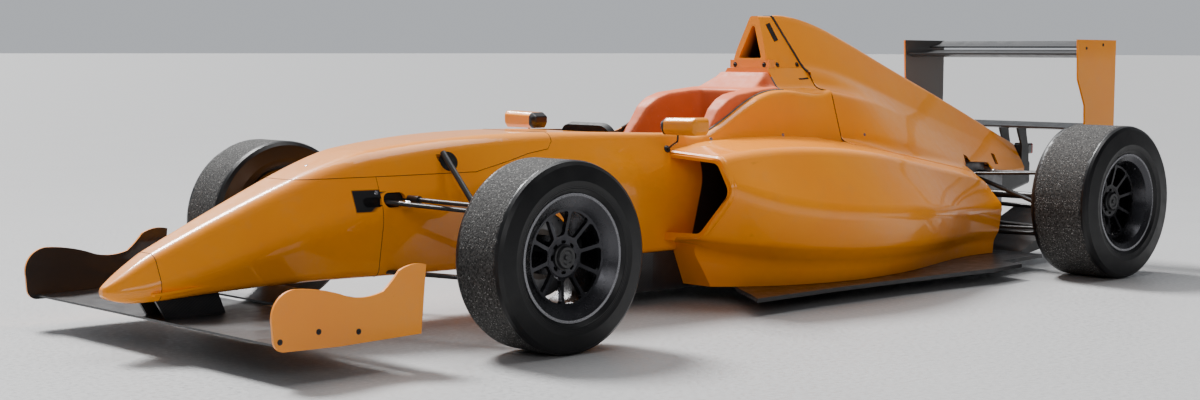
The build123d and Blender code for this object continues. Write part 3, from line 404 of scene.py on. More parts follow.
def rim_metal(name, centre, half):
    """Dark satin wheel with a painted highlight on its lip, lighter grey in place of its reflection, and
    brake dust in its depth.
    """
    look = Look(name, Metallic=0.85)
    distance, out, turn = turning(look, centre)
    base = blend(look, span(look, noise(look, 20.0, 5.0), 0.35, 0.7), WHEEL, WHEEL_LIGHT)
    dish = times(look, span(look, distance, 0.140, 0.156), span(look, out, half - 0.060, half - 0.020))
    base = blend(look, dish, base, WHEEL_DISH)
    # Painted highlight: the outer lip lighter grey than the dark wheel, in place of its reflection
    lip = times(look, span(look, distance, 0.1735, 0.1745), span(look, out, half - 0.006, half - 0.004))
    base = blend(look, lip, base, WHEEL_LIP_HIGHLIGHT)
    depth = span(look, out, half - 0.045, half - 0.075)
    dust = times(look, depth, span(look, noise(look, 55.0, 6.0), 0.35, 0.75, 0.2, 0.75))
    base = blend(look, dust, base, BRAKE_DUST)
    rough = span(look, noise(look, 50.0, 6.0), 0.3, 0.75, 0.18, 0.32)
    lines = times(look, waves(look, distance, 0.0012), dish)
    cast = dent(look, noise(look, 700.0, 2.0), 0.0003, 0.12)
    return look.set(Base_Color=base, Roughness=rough, Normal=dent(look, lines, 0.0001, 0.3, cast))


def ground_disc(name, centre):
    """Cast iron disc with fine ground circles and a dull bell."""
    look = Look(name, Metallic=1.0)
    distance = turning(look, centre)[0]
    swept = times(look, span(look, distance, 0.070, 0.074), span(look, distance, 0.1215, 0.1185))
    shade = blend(look, swept, IRON, IRON_SWEPT)
    stains = span(look, noise(look, 60.0, 6.0), 0.45, 0.8, 0.0, 0.5)
    shade = blend(look, stains, shade, IRON_STAINED)
    rough = span(look, noise(look, 40.0, 5.0), 0.3, 0.7, 0.26, 0.42)
    lines = times(look, waves(look, distance, 0.0016), swept)
    return look.set(Base_Color=shade, Roughness=rough, Normal=dent(look, lines, 0.0001, 0.4))


def lamp_lens():
    """Red lens with a moulded grid behind its surface, in a black housing."""
    look = Look("lamp_lens", Coat_Weight=1.0, Coat_Roughness=0.03, IOR=1.49)
    x, y, z = look.axes()
    cell = 0.009
    grid = times(look, waves(look, y, cell), waves(look, z, cell))
    shade = blend(look, span(look, grid, -0.6, 0.8), LENS_DEEP, LENS_RED)
    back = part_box("rain_light")[0].x
    shade = blend(look, span(look, x, back + 9 * MM, back + 10 * MM), shade, SOFT_BLACK)
    rough = span(look, noise(look, 60.0, 5.0), 0.3, 0.7, 0.10, 0.22)
    return look.set(Base_Color=shade, Roughness=rough, Normal=dent(look, grid, 0.0010, 0.5))


def grip_rubber(name, color, cells):
    """Matte moulded rubber with a fine pebble of so many cells to a metre."""
    look = Look(name)
    links = {"Vector": look.place, "Scale": cells}
    grain = add(look, "ShaderNodeTexVoronoi", links, feature="SMOOTH_F1").outputs["Distance"]
    worn = tuple(c * 2.2 for c in color)
    shade = blend(look, span(look, noise(look, 30.0, 5.0), 0.45, 0.75), color, worn)
    rough = span(look, noise(look, 60.0, 4.0), 0.3, 0.7, 0.5, 0.72)
    return look.set(Base_Color=shade, Roughness=rough, Normal=dent(look, grain, 0.0006, 0.5))


def mirror_glass():
    """Silvered glass with faint smears."""
    look = Look("mirror_glass", Metallic=1.0)
    smear = noise(look, 30.0, 6.0, 0.7)
    shade = blend(look, span(look, smear, 0.4, 0.8), MIRROR, MIRROR_SMEARED)
    return look.set(Base_Color=shade, Roughness=span(look, smear, 0.4, 0.8, 0.02, 0.10))


def outward(look):
    """How far a face looks away from the car's middle, from minus one for straight towards it to one."""
    across = look.axes(look.coords.outputs["Normal"])[1]
    return times(look, across, calc(look, "SIGN", look.axes()[1]))


# Where a paint is dark: each gives the dark share of a look
def in_tub(look):
    """Bare composite on the cockpit's inward faces and its floor, and painted shade in the recesses and on
    the tub's side inside the ducts.
    """
    wall = span(look, outward(look), -0.12, -0.2)
    found = times(look, wall, inside(look, COCKPIT, 2.0))
    others = (
        inside(look, COCKPIT_FLOOR, 2.0),
        inside(look, ARM_POCKET, 1.0),
        times(look, inside(look, ROD_POCKET, 2.0), wall),
        inside(look, DUCT_WALL, 2.0),
    )
    for other in others:
        found = calc(look, "MAXIMUM", found, other)
    return found


def in_intake(look):
    """Painted shade in the roof intake, darker deeper inside its tapered mouth."""
    x, y, z = look.axes()
    rise = times(look, calc(look, "SUBTRACT", z, 0.820), 0.42)
    reach = calc(look, "ADD", calc(look, "ABSOLUTE", y), rise)
    mouth = span(look, reach, 0.061, 0.060)
    depth = span(look, x, spot(-1598, 0, 0).x, spot(-1650, 0, 0).x, 0.0, 0.96)
    return times(look, mouth, depth, inside(look, INTAKE, 1.0))


def within(box, edge):
    """All that lies in a box of the model."""
    return lambda look: inside(look, box, edge)


def inner_face(limit):
    """The side of an endplate that faces the car's middle, up to a distance from it in mm."""
    def share(look):
        flat = span(look, outward(look), -0.6, -0.7)
        side = calc(look, "ABSOLUTE", look.axes()[1])
        return times(look, flat, span(look, side, (limit + 1.0) * MM, (limit + 0.5) * MM))
    return share


def inboard_end(look):
    """The mirrors' black ends, towards the cockpit."""
    side = calc(look, "ABSOLUTE", look.axes()[1])
    return span(look, side, 0.3345, 0.3335)


# Finishes of the nodes that keep their CAD shape
# Metals: colour, roughness, grains to a metre, metallic share, then the colour and share of worn spots
orange = paint("orange_paint")
carbon_weave = carbon()
satin_black = metal("satin_black", (0.016, 0.016, 0.017), 0.34, 500.0, 0.0, (0.16, 0.16, 0.17), 0.35)
cast = metal("cast_alloy", (0.30, 0.30, 0.31), 0.58, 600.0)
dark_cast = metal("dark_casting", (0.045, 0.045, 0.048), 0.45, 420.0, 0.8, (0.25, 0.25, 0.26), 0.3)
steel = metal("bright_steel", (0.62, 0.62, 0.64), 0.22, 400.0, 1.0, (0.25, 0.23, 0.20), 0.4)
black_bolt = metal("black_bolt", (0.030, 0.030, 0.032), 0.30, 500.0, 0.7, (0.3, 0.3, 0.3), 0.3)
radiator_core = metal("radiator_core", (0.05, 0.05, 0.052), 0.5, 300.0, 0.6)
gap_black = metal("gap_shadow", (0.006, 0.005, 0.004), 0.8, 300.0, 0.0)
grip = grip_rubber("grip_rubber", (0.018, 0.018, 0.019), 420.0)
seal = grip_rubber("edge_seal", (0.10, 0.10, 0.095), 700.0)
foam = foam_skin()

# Outer faces of the wings' endplates, and how deep their paint reaches
front_plate_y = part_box("front_wing_endplates")[1].y / MM
rear_plate_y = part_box("rear_wing_endplates")[1].y / MM
PLATE_DEPTH = 8
front_plate = inner_face(front_plate_y - PLATE_DEPTH)
rear_plate = inner_face(rear_plate_y - PLATE_DEPTH)
finishes = {
    "nose_tip damper_cover": orange,
    # Painted shade: black in the nose's pocket, the roof intake and the pods' ducts, and the tub's dark
    # colour in its recesses and beside the ducts
    "nose_cone": paint("orange_paint_nose", within(NOSE_POCKET, 2.0)),
    "roll_hoop": paint("orange_paint_hoop", in_intake),
    "mirrors": paint("orange_paint_mirror", inboard_end, SOFT_BLACK),
    "monocoque": paint("orange_paint_tub", in_tub, BARE_TUB_AND_SHADE),
    "sidepod_left sidepod_right": paint("orange_paint_pod", within(DUCT, 6.0)),
    "front_wing_endplates": paint("orange_paint_front_plate", front_plate, FRONT_PLATE_BLACK),
    "rear_wing_endplates": paint("orange_paint_rear_plate", rear_plate, REAR_PLATE_GREY),
    "floor diffuser rear_wing_planes rear_beam_wing rear_wing_pylons front_wing_planes front_wing_pylons "
    "crash_structure seat mirror_stays": carbon_weave,
    "front_wishbones front_pushrods rear_wishbones rear_rods driveshafts track_rods": satin_black,
    "rear_uprights upright_front_left upright_front_right": dark_cast,
    "radiators": radiator_core,
    "engine gearbox": cast,
    "rain_light": lamp_lens(),
    "steering_wheel": grip,
}
for names, finish in finishes.items():
    for name in names.split():
        cover_with(nodes[name].data, finish)

# Half widths of the worn treads, in metres
HALF_TREADS = {"front": 0.076, "rear": 0.096}
wheels = {}
for axle, half_tread in HALF_TREADS.items():
    for side in ("left", "right"):
        corner = f"{axle}_{side}"
        low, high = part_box(f"tyre_{corner}")
        rim_low, rim_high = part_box(f"rim_{corner}")
        centre = Vector(((low.x + high.x) / 2, (rim_low.y + rim_high.y) / 2, (low.z + high.z) / 2))
        half = (rim_high.y - rim_low.y) / 2
        wheels[corner] = (centre, half)
        tyre = tyre_rubber(f"slick_rubber_{corner}", centre, (high.z - low.z) / 2, half_tread)
        cover_with(nodes[f"tyre_{corner}"].data, tyre)
        cover_with(nodes[f"rim_{corner}"].data, rim_metal(f"rim_metal_{corner}", centre, half))
        cover_with(nodes[f"brake_disc_{corner}"].data, ground_disc(f"ground_disc_{corner}", centre))

# Angles in degrees from which an edge is shown sharp, or is followed by a joint line
CREASE = 28.0
TYRE_CREASE = 80.0
PIECE_CREASE = 35.0
SHARP = 40.0
for name, node in nodes.items():
    smooth(node, TYRE_CREASE if name.startswith("tyre") else CREASE)


# Pieces
def piece(name, mesh, finish, body):
    """A new piece of the scene from a bmesh, riding on a body."""
    bmesh.ops.recalc_face_normals(mesh, faces=mesh.faces)
    data = stored(name, mesh)
    data.materials.append(finish)
    thing = put(name, data)
    smooth(thing, PIECE_CREASE)
    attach(thing, body)
    return thing


def frame_at(place, axis):
    """Matrix that stands a piece at a place with its z along an axis."""
    turn = axis.normalized().to_track_quat("Z", "Y").to_matrix().to_4x4()
    return Matrix.Translation(place) @ turn


def bridge(mesh, rings):
    """Faces from ring to ring of vertices without a twist, and both ends closed."""
    for first, second in zip(rings, rings[1:]):
        count = len(first)
        start = min(range(count), key=lambda k: (second[k].co - first[0].co).length)
        for i in range(count):
            j = (i + 1) % count
            mesh.faces.new((first[i], first[j], second[(j + start) % count], second[(i + start) % count]))
    for ring in (rings[0], rings[-1]):
        mesh.faces.new(ring)


def lathe(mesh, place, axis, profile, steps=24):
    """Turned shape: radius and height along the axis in mm for each ring, then 6 where it is hexagonal."""
    matrix = frame_at(place, axis)
    rings = []
    for radius, height, *sides in profile:
        ring = []
        for i in range(steps):
            angle = 2 * pi * i / steps
            reach = radius
            if sides:
                part = pi / sides[0]
                reach = radius * cos(part) / cos((angle + part) % (2 * part) - part)
            local = Vector((reach * cos(angle), reach * sin(angle), height)) * MM
            ring.append(mesh.verts.new(matrix @ local))
        rings.append(ring)
    bridge(mesh, rings)


def socket_bolt(mesh, place, axis, radius):
    """Button head with a hexagon socket, on a thin washer."""
    lathe(mesh, place, axis, [
        (radius * 1.45, -1.5), (radius * 1.45, 0.5), (radius * 1.38, 0.9), (radius, 0.9),
        (radius, radius * 0.25), (radius * 0.85, radius * 0.55), (radius * 0.62, radius * 0.72),
        (radius * 0.50, radius * 0.74, 6), (radius * 0.48, radius * 0.20, 6),
    ])


def quarter_turn(mesh, place, axis, radius):
    """Flush panel fastener: a dished stud in its ring."""
    lathe(mesh, place, axis, [
        (radius * 1.1, -1.0), (radius * 1.1, 0.35), (radius * 0.95, 0.6), (radius * 0.78, 0.45),
        (radius * 0.72, -0.3), (radius * 0.66, 0.3), (radius * 0.40, 0.5), (radius * 0.24, 0.3, 6),
        (radius * 0.22, -0.6, 6),
    ])


def many(name, places, make, radius, finish):
    """Many fasteners of a size on the chassis as one joined piece: places are place and axis."""
    mesh = bmesh.new()
    for place, axis in places:
        make(mesh, place, axis, radius)
    return piece(name, mesh, finish, "chassis")


def tube(mesh, points, radius, steps):
    """Round tube in mm through points, closed at its ends, with its corners mitred."""
    rings = []
    for i, here in enumerate(points):
        before = points[max(i - 1, 0)]
        after = points[min(i + 1, len(points) - 1)]
        matrix = frame_at(here, after - before)
        rings.append([
            mesh.verts.new(matrix @ (Vector((cos(a), sin(a), 0)) * radius * MM))
            for a in (2 * pi * k / steps for k in range(steps))
        ])
    bridge(mesh, rings)


def chains_of(edges):
    """Edges joined end to end, as lists of points."""
    left = dict.fromkeys(edges)
    chains = []
    while left:
        edge = next(iter(left))
        del left[edge]
        chain = list(edge.verts)
        for end in (1, 0):
            while True:
                tip = chain[-1] if end else chain[0]
                after = [e for e in tip.link_edges if e in left]
                if len(after) != 1:
                    break
                del left[after[0]]
                other = after[0].other_vert(tip)
                if end:
                    chain.append(other)
                else:
                    chain.insert(0, other)
        chains.append([v.co.copy() for v in chain])
    return chains


def sharp_lines(node, keep):
    """Sharp edges of a node where keep says so, as chains of points."""
    mesh = bmesh.new()
    mesh.from_mesh(nodes[node].data)
    bmesh.ops.remove_doubles(mesh, verts=mesh.verts, dist=0.02 * MM)
    edges = [
        e for e in mesh.edges
        if len(e.link_faces) == 2 and e.calc_face_angle(0.0) > radians(SHARP)
        and keep(e.verts[0].co) and keep(e.verts[1].co)
    ]
    chains = chains_of(edges)
    mesh.free()
    return chains


def seams(name, chains, radius, finish):
    """Joint lines laid along chains of points, without points that crowd and chains that are short."""
    crowded, short = 1.2 * MM, 30 * MM
    mesh = bmesh.new()
    for chain in chains:
        spaced = [chain[0]]
        for here in chain[1:]:
            if (here - spaced[-1]).length > crowded:
                spaced.append(here)
        length = sum((b - a).length for a, b in zip(spaced, spaced[1:]))
        if len(spaced) > 1 and length > short:
            tube(mesh, spaced, radius, 8)
    return piece(name, mesh, finish, "chassis")


def soft_copy(name, node, voxel, rounds, finish, extra=None):
    """The node's shape, with an extra block if given, as a new mesh with rounded edges."""
    mesh = bmesh.new()
    mesh.from_mesh(nodes[node].data)
    if extra:
        extra(mesh)
        bmesh.ops.recalc_face_normals(mesh, faces=mesh.faces)
    copy = put(name, stored(name, mesh))
    modify(copy, "REMESH", mode="VOXEL", voxel_size=voxel, adaptivity=0.0)
    modify(copy, "SMOOTH", factor=0.5, iterations=rounds)
    data = evaluated(copy)
    bpy.data.objects.remove(copy)
    cover_with(data, finish)
    for face in data.polygons:
        face.use_smooth = True
    return put(name, data)


def slab(mesh, profile, half):
    """Solid across the car from a side profile in mm, with its half width at each point."""
    bridge(mesh, [
        [mesh.verts.new(spot(d, side * wide, z)) for (d, z), wide in zip(profile, half)] for side in SIDES
    ])


def back_ramp(mesh):
    """Slope from the cockpit's rim up to the foot of the roll hoop."""
    profile = [(-1572, 560), (-1572, 770), (-1560, 770), (-1450, 708), (-1440, 560)]
    slab(mesh, profile, (150, 112, 112, 150, 150))


# Headrest foam: a smooth moulded pad with soft edges in the space of its solid
pad = soft_copy("headrest_pad", "headrest", 5 * MM, 30, foam, back_ramp)
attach(pad, "chassis")
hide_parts("headrest")

# Bolts of the wings' endplates and the roll hoop
FRONT_BOLTS = [(762, 131), (638, 119), (879, 116)]
REAR_BOLTS = [(-3110, 858), (-3230, 872), (-3200, 543)]
HOOP_BOLT_HEIGHT = 796


def plate_bolts(across, spots):
    """Places and directions of bolts on the outside of both endplates."""
    return [(spot(d, side * across, z), LEFT * side) for side in SIDES for d, z in spots]


front_bolts = plate_bolts(front_plate_y, FRONT_BOLTS)
rear_bolts = plate_bolts(rear_plate_y, REAR_BOLTS)
hoop_bolts = [(spot(-1590, side * 71, HOOP_BOLT_HEIGHT), FORWARD) for side in SIDES]
for side in SIDES:
    for d in (-1639, -1746):
        hoop_bolts.append((spot(d, side * 91.5, HOOP_BOLT_HEIGHT), LEFT * side + UP * 0.4))
many("front_plate_bolts", front_bolts, socket_bolt, 5.5, black_bolt)
many("hoop_bolts", hoop_bolts, socket_bolt, 6.5, black_bolt)
many("rear_plate_bolts", rear_bolts, socket_bolt, 4.5, black_bolt)


# Engine cover: one smooth skin over its solid, flush with the tub at the seam and flared on to the pods
def surface(*things):
    """Search tree over the surfaces of some objects."""
    mesh = bmesh.new()
    for thing in things:
        mesh.from_mesh(thing.data)
    found = BVHTree.FromBMesh(mesh)
    mesh.free()
    return found


def between(table, value):
    """Value of a table of pairs at a place between its rows, held at both ends."""
    if value >= table[0][0]:
        return table[0][1]
    for (high, first), (low, second) in zip(table, table[1:]):
        if value >= low:
            return second + (first - second) * (value - low) / (high - low)
    return table[-1][1]


def fade(share):
    """Smooth change from one to nothing as the share goes from nothing to one."""
    share = min(max(share, 0.0), 1.0)
    return 1.0 - share * share * (3.0 - 2.0 * share)


# The cover's seam with the tub, as height and distance, and the heights of its centre line along the car
SEAM_FOOT = -1788.0
SEAM = [(1040, -1651), (992, -1674), (784, -1773), (760, SEAM_FOOT), (0, SEAM_FOOT)]
COVER_CENTRES = [(-1660, 516), (-1990, 504), (-2290, 446), (-2652, 378), (-2999, 337), (-3235, 335)]
COVER_FRONT = -1640.0
COVER_BACK = -3234.0
COVER_THICK = 4.0
BLEND_LENGTH = 300.0
# The foot that flares on to the pod: how far the side is cut back, where it lands and how it bends, in mm
FLARE_BACK = -2600.0
FLARE_CUT = 28.0
FLARE_LANDING = (44.0, 60.0)
FLARE_LIFT = 1.2
FLARE_PULLS = (26.0, 34.0)
FLARE_STEPS = 12
# Places across half the cover, steps along it, and halvings in the search for its seam
COLUMNS = 64
ROWS = 150
HALVINGS = 20
# Height in mm and distance in metres from which rays are cast towards the car, and its middle's height
ABOVE_ALL = 900
OUTSIDE_ALL = 0.9
CAR_MIDDLE = 0.3
tub, cover, left_pod = nodes["monocoque"], nodes["engine_cover"], nodes["sidepod_left"]
hoop, right_pod = nodes["roll_hoop"], nodes["sidepod_right"]
cover_tree = surface(cover)
front_tree = surface(tub, hoop, cover, left_pod)
pod_tree = surface(left_pod)
tub_tree = surface(tub)
hoop_tree = surface(hoop)
damper_tree = surface(nodes["damper_cover"])


def meet(tree, ahead, angle):
    """Where a ray towards the cover's centre line meets a shape: left and up in mm, or nothing."""
    way = Vector((0, cos(angle), sin(angle)))
    centre = spot(ahead, 0, between(COVER_CENTRES, ahead))
    place = tree.ray_cast(centre + way * OUTSIDE_ALL, -way)[0]
    return None if place is None else Vector((place.y, place.z)) / MM


def from_centre(ahead, point):
    """Way from the cover's centre line to a point of its section."""
    return point - Vector((0, between(COVER_CENTRES, ahead)))


def even(points, count):
    """Points spaced evenly along a line of points."""
    lengths = [0.0]
    for a, b in zip(points, points[1:]):
        lengths.append(lengths[-1] + (b - a).length)
    out = []
    i = 0
    for k in range(count):
        goal = lengths[-1] * k / (count - 1)
        while i < len(points) - 2 and lengths[i + 1] < goal:
            i += 1
        step = max(lengths[i + 1] - lengths[i], 1e-9)
        out.append(points[i].lerp(points[i + 1], min(max((goal - lengths[i]) / step, 0.0), 1.0)))
    return out


def pod_top(ahead, y):
    """Height of the side pod's top, in mm."""
    return pod_tree.ray_cast(spot(ahead, y, ABOVE_ALL), -UP)[0].z / MM


def cover_section(ahead):
    """Half section of the cover, from its crest to its foot and out on to the side pod."""
    points = []
    angle, step, finest = radians(89.9), radians(1.2), radians(0.02)
    while step > finest:
        point = meet(cover_tree, ahead, angle)
        if point is not None:
            points.append(point)
            angle -= step
        else:
            angle += step
            step /= 3
            angle -= step
    points[0].x = 0.0
    if ahead < FLARE_BACK:
        return even(points, COLUMNS)
    foot = points[-1]
    while len(points) > 3 and (points[-1] - foot).length < FLARE_CUT:
        points.pop()
    start = points[-1]
    down = (points[-1] - points[-3]).normalized()
    landing, beyond = [
        Vector((foot.x + reach, pod_top(ahead, foot.x + reach) + FLARE_LIFT)) for reach in FLARE_LANDING
    ]
    out = (beyond - landing).normalized()
    ends = (start, start + down * FLARE_PULLS[0], landing - out * FLARE_PULLS[1], landing)
    for k in range(1, FLARE_STEPS + 1):
        t = k / FLARE_STEPS
        u = 1 - t
        curve = ends[0] * u ** 3 + ends[1] * 3 * u * u * t + ends[2] * 3 * u * t * t + ends[3] * t ** 3
        points.append(curve)
    return even(points, COLUMNS)


def cover_rows():
    """Sections of the whole cover from its front to its back, made flush at the seam."""
    behind, before = SEAM_FOOT - 8, SEAM_FOOT + 4
    first = cover_section(behind)
    angles = []
    for point in first:
        across = from_centre(SEAM_FOOT, point)
        angles.append(atan2(across.y, across.x))
    steps = []
    for angle, point in zip(angles, first):
        top = from_centre(before, meet(front_tree, before, angle))
        steps.append(min(0.0, top.length - from_centre(behind, point).length))
    smoothed = []
    for j in range(COLUMNS):
        near = steps[max(j - 2, 0):j + 3]
        smoothed.append(sum(near) / len(near))
    rows = []
    ahead = COVER_FRONT
    while ahead > SEAM_FOOT:
        rows.append((ahead, [meet(front_tree, ahead, angle) for angle in angles]))
        ahead -= 12.0
    ahead = SEAM_FOOT - 1.0
    while ahead > COVER_BACK:
        share = fade((SEAM_FOOT - ahead) / BLEND_LENGTH)
        row = []
        for step, point in zip(smoothed, cover_section(min(ahead, behind))):
            row.append(point + from_centre(ahead, point).normalized() * step * share)
        rows.append((ahead, row))
        ahead -= 10.0
    return rows


def cover_grid(rows):
    """Columns of places along the cover, each from the seam to the back."""
    grid = []
    for j in range(COLUMNS):
        line = [(ahead, row[j]) for ahead, row in rows]
        start = next(i for i, (ahead, point) in enumerate(line) if ahead <= between(SEAM, point.y))
        (a, p), (b, q) = line[start - 1], line[start]
        low, high = 0.0, 1.0
        for _ in range(HALVINGS):
            mid = (low + high) / 2
            if a + (b - a) * mid <= between(SEAM, p.lerp(q, mid).y):
                high = mid
            else:
                low = mid
        seam_end = a + (b - a) * high
        kept = [(seam_end, p.lerp(q, high))] + line[start:]
        column = []
        i = 0
        for k in range(ROWS + 1):
            goal = seam_end + (kept[-1][0] - seam_end) * k / ROWS
            while i < len(kept) - 2 and kept[i + 1][0] > goal:
                i += 1
            (a, p), (b, q) = kept[i], kept[i + 1]
            point = p.lerp(q, (goal - a) / (b - a) if a != b else 0.0)
            column.append(spot(goal, point.x, point.y))
        grid.append(column)
    return grid


# Side outlines of the cover's openings for the rear suspension
ARM_NOTCH = [(-2632, 360), (-2640, 412), (-2668, 437), (-2692, 430), (-2722, 360)]
SQUARE_NOTCH = [(-2962, 385), (-2962, 428), (-2992, 424), (-2992, 381)]
CUT_HALF = 400


def cutter(name, corners):
    """Cutter right across the car, from a side outline in mm."""
    mesh = bmesh.new()
    bridge(mesh, [[mesh.verts.new(spot(d, y, z)) for d, z in corners] for y in (-CUT_HALF, CUT_HALF)])
    bmesh.ops.recalc_face_normals(mesh, faces=mesh.faces)
    return put(name, stored(name, mesh))


def cover_skin(grid):
    """The skin with its thickness and its openings for the rear suspension."""
    mesh = bmesh.new()
    crest = [mesh.verts.new(place) for place in grid[0]]
    for side in SIDES:
        before = crest
        for column in grid[1:]:
            after = [mesh.verts.new((p.x, p.y * side, p.z)) for p in column]
            for i in range(ROWS):
                corners = (before[i], before[i + 1], after[i + 1], after[i])
                mesh.faces.new(corners if side > 0 else corners[::-1])
            before = after
    bmesh.ops.recalc_face_normals(mesh, faces=mesh.faces)
    if sum(f.normal.z * f.calc_area() for f in mesh.faces) < 0:
        bmesh.ops.reverse_faces(mesh, faces=mesh.faces)
    skin = put("engine_cover_skin", stored("engine_cover_skin", mesh))
    modify(skin, "SOLIDIFY", thickness=COVER_THICK * MM, offset=-1.0)
    cutters = [cutter("arm_notch", ARM_NOTCH), cutter("square_notch", SQUARE_NOTCH)]
    for thing in cutters:
        modify(skin, "BOOLEAN", operation="DIFFERENCE", solver="EXACT", object=thing)
    whole = evaluated(skin)
    skin.modifiers.clear()
    skin.data = whole
    for thing in cutters:
        bpy.data.objects.remove(thing)
    cover_with(whole, orange)
    smooth(skin, PIECE_CREASE)
    return skin


grid = cover_grid(cover_rows())
skin = cover_skin(grid)
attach(skin, "chassis")
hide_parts("engine_cover")

# Seams: a black seal between the hoop and the cover, and thin joints between the panels
SEAL_FOOT = 770
SEAL_RADIUS = 4.5
EDGE_TOP = 776
EDGE_RADIUS = 2.8
JOINT_RADIUS = 1.6
FINE_JOINT = 0.9


def shifted(places, side, ahead=0.0, up=0.0):
    """Places of the left side on a side of the car, moved by some mm."""
    return [Vector((p.x + ahead * MM, p.y * side, p.z + up * MM)) for p in places]


front_edge = [column[0] for column in grid]
cad_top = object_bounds()[1][2]
hoop_edge = [Vector((p.x, p.y, min(p.z, cad_top - 5 * MM))) for p in front_edge if p.z > SEAL_FOOT * MM]
tub_edge = [p for p in front_edge if p.z <= EDGE_TOP * MM]
seal_line = shifted(hoop_edge, -1)[::-1] + hoop_edge[1:]
seams("hoop_seal", [seal_line], SEAL_RADIUS, grip)
edge_lines = [shifted(tub_edge, side, up=0.4) for side in SIDES]
joint_lines = [shifted(tub_edge, side, ahead=3.5) for side in SIDES]
seams("cover_edge", edge_lines, EDGE_RADIUS, orange)
seams("cover_joint", joint_lines, JOINT_RADIUS, gap_black)
for name, node in (("tip_joint", "nose_tip"), ("nose_joint", "nose_cone")):
    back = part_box(node)[0].x
    seams(name, sharp_lines(node, lambda place: abs(place.x - back) < 0.3 * MM), FINE_JOINT, gap_black)
seams("damper_cover_joint", sharp_lines("damper_cover", lambda place: True), FINE_JOINT, gap_black)


def seated(trees, d, y, z):
    """Nearest place on some surfaces and the direction that faces out there."""
    goal = spot(d, y, z)
    found = [tree.find_nearest(goal)[:2] for tree in trees]
    place, normal = min(found, key=lambda pair: (pair[0] - goal).length)
    away = Vector((0, place.y, place.z - CAR_MIDDLE))
    return place, normal if normal.dot(away) > 0 else -normal


# Quarter turn fasteners of the panels, seated on what they hold
PANEL_POINTS = [
    (-1143, 237, 548), (-1468, 274, 553), (-1909, 296, 548), (-1800, 312, 530), (212, 196, 440),
]
DAMPER_POINT = (341, 8, 507)
panels = (tub_tree, surface(left_pod, right_pod), surface(skin), surface(nodes["nose_cone"]))
fasteners = [seated(panels, *place) for side in SIDES for place in sided(side, PANEL_POINTS)]
fasteners.append(seated((damper_tree,), *DAMPER_POINT))
many("panel_fasteners", fasteners, quarter_turn, 5.5, steel)


def ribbon(mesh, tree, places, width, thick=1.2):
    """Thin strip that lies on a surface along some places, its sizes in mm."""
    found = [seated((tree,), *place) for place in places]
    rings = []
    for i, (place, normal) in enumerate(found):
        along = (found[min(i + 1, len(found) - 1)][0] - found[max(i - 1, 0)][0]).normalized()
        across = normal.cross(along).normalized() * width * MM / 2
        lift = normal * thick * MM
        corners = (-across - lift, across - lift, across + lift, lift - across)
        rings.append([mesh.verts.new(place + corner) for corner in corners])
    bridge(mesh, rings)


# Dark strips of painted shade where the slots lie, beside the roof intake and at the foot of the hump
HOOP_SLOT = [(-1650, 31, 944), (-1670, 57, 882)]
HUMP_SLOT = [(-1718, 127, 744), (-1744, 120, 740), (-1770, 113, 738)]
slots = bmesh.new()
for side in SIDES:
    ribbon(slots, hoop_tree, sided(side, HOOP_SLOT), 24.0)
    ribbon(slots, tub_tree, sided(side, HUMP_SLOT), 6.0)
piece("hump_slots", slots, gap_black, "chassis")

# Black bushes where the front push rods enter the damper cover
BUSH_PLACE = (-62, 174, 512)
BUSH = [(31, -3), (31, 1.0), (29.5, 2.0), (27.5, 1.6), (4, 1.6)]
bushes = bmesh.new()
for side in SIDES:
    place, away = seated((damper_tree,), *sided(side, [BUSH_PLACE])[0])
    lathe(bushes, place, away, BUSH, 40)
piece("push_rod_grommets", bushes, gap_black, "chassis")

# Orange mount plate under the nose
NOSE_PLATE = [(898, 174), (898, 181), (707, 197), (707, 190)]
NOSE_PLATE_HALF = (98, 98, 104, 104)
nose_plate = bmesh.new()
slab(nose_plate, NOSE_PLATE, NOSE_PLATE_HALF)
piece("nose_mount_plate", nose_plate, orange, "chassis")

# Grey strip along the rim of the foam, dropped on to the tub a little outside the rim's line
RIM = [(-1150, 209), (-1260, 212), (-1420, 203), (-1540, 194), (-1570, 182), (-1576, 150), (-1576, 112)]
RIM_STEPS = 6
RIM_OUTSET = 3
RIM_LOWEST = 0.4
RIM_RADIUS = 3.5
strip = bmesh.new()
for side in SIDES:
    path = []
    for (d0, y0), (d1, y1) in zip(RIM, RIM[1:]):
        for k in range(RIM_STEPS):
            d, y = d0 + (d1 - d0) * k / RIM_STEPS, y0 + (y1 - y0) * k / RIM_STEPS
            drop = tub_tree.ray_cast(spot(d - RIM_OUTSET, side * (y + RIM_OUTSET), ABOVE_ALL), -UP)[0]
            if drop is not None and drop.z > RIM_LOWEST:
                path.append(Vector((spot(d, 0, 0).x, side * y * MM, drop.z)))
    tube(strip, path, RIM_RADIUS, 8)
piece("rim_strip", strip, seal, "chassis")


def rounded(mesh, place, axis, wide, high, corner, thick, steps=24):
    """Plate with rounded corners standing across an axis, its width level and its sizes in mm."""
    outline = []
    for k in range(steps):
        angle = 2 * pi * (k + 0.5) / steps
        cx = copysign(wide / 2 - corner, cos(angle))
        cy = copysign(high / 2 - corner, sin(angle))
        outline.append((cx + corner * cos(angle), cy + corner * sin(angle)))
    level = UP.cross(axis).normalized()
    rings = []
    for height in (-thick, thick):
        middle = place + axis * height * MM
        rings.append([mesh.verts.new(middle + level * a * MM + UP * b * MM) for a, b in outline])
    bridge(mesh, rings)


# Mirrors: shells with soft edges, stays with a round foot on the tub, and their glass
shells = soft_copy("mirror_shells", "mirrors", 2.5 * MM, 12, nodes["mirrors"].data.materials[0])
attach(shells, "chassis")
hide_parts("mirrors")

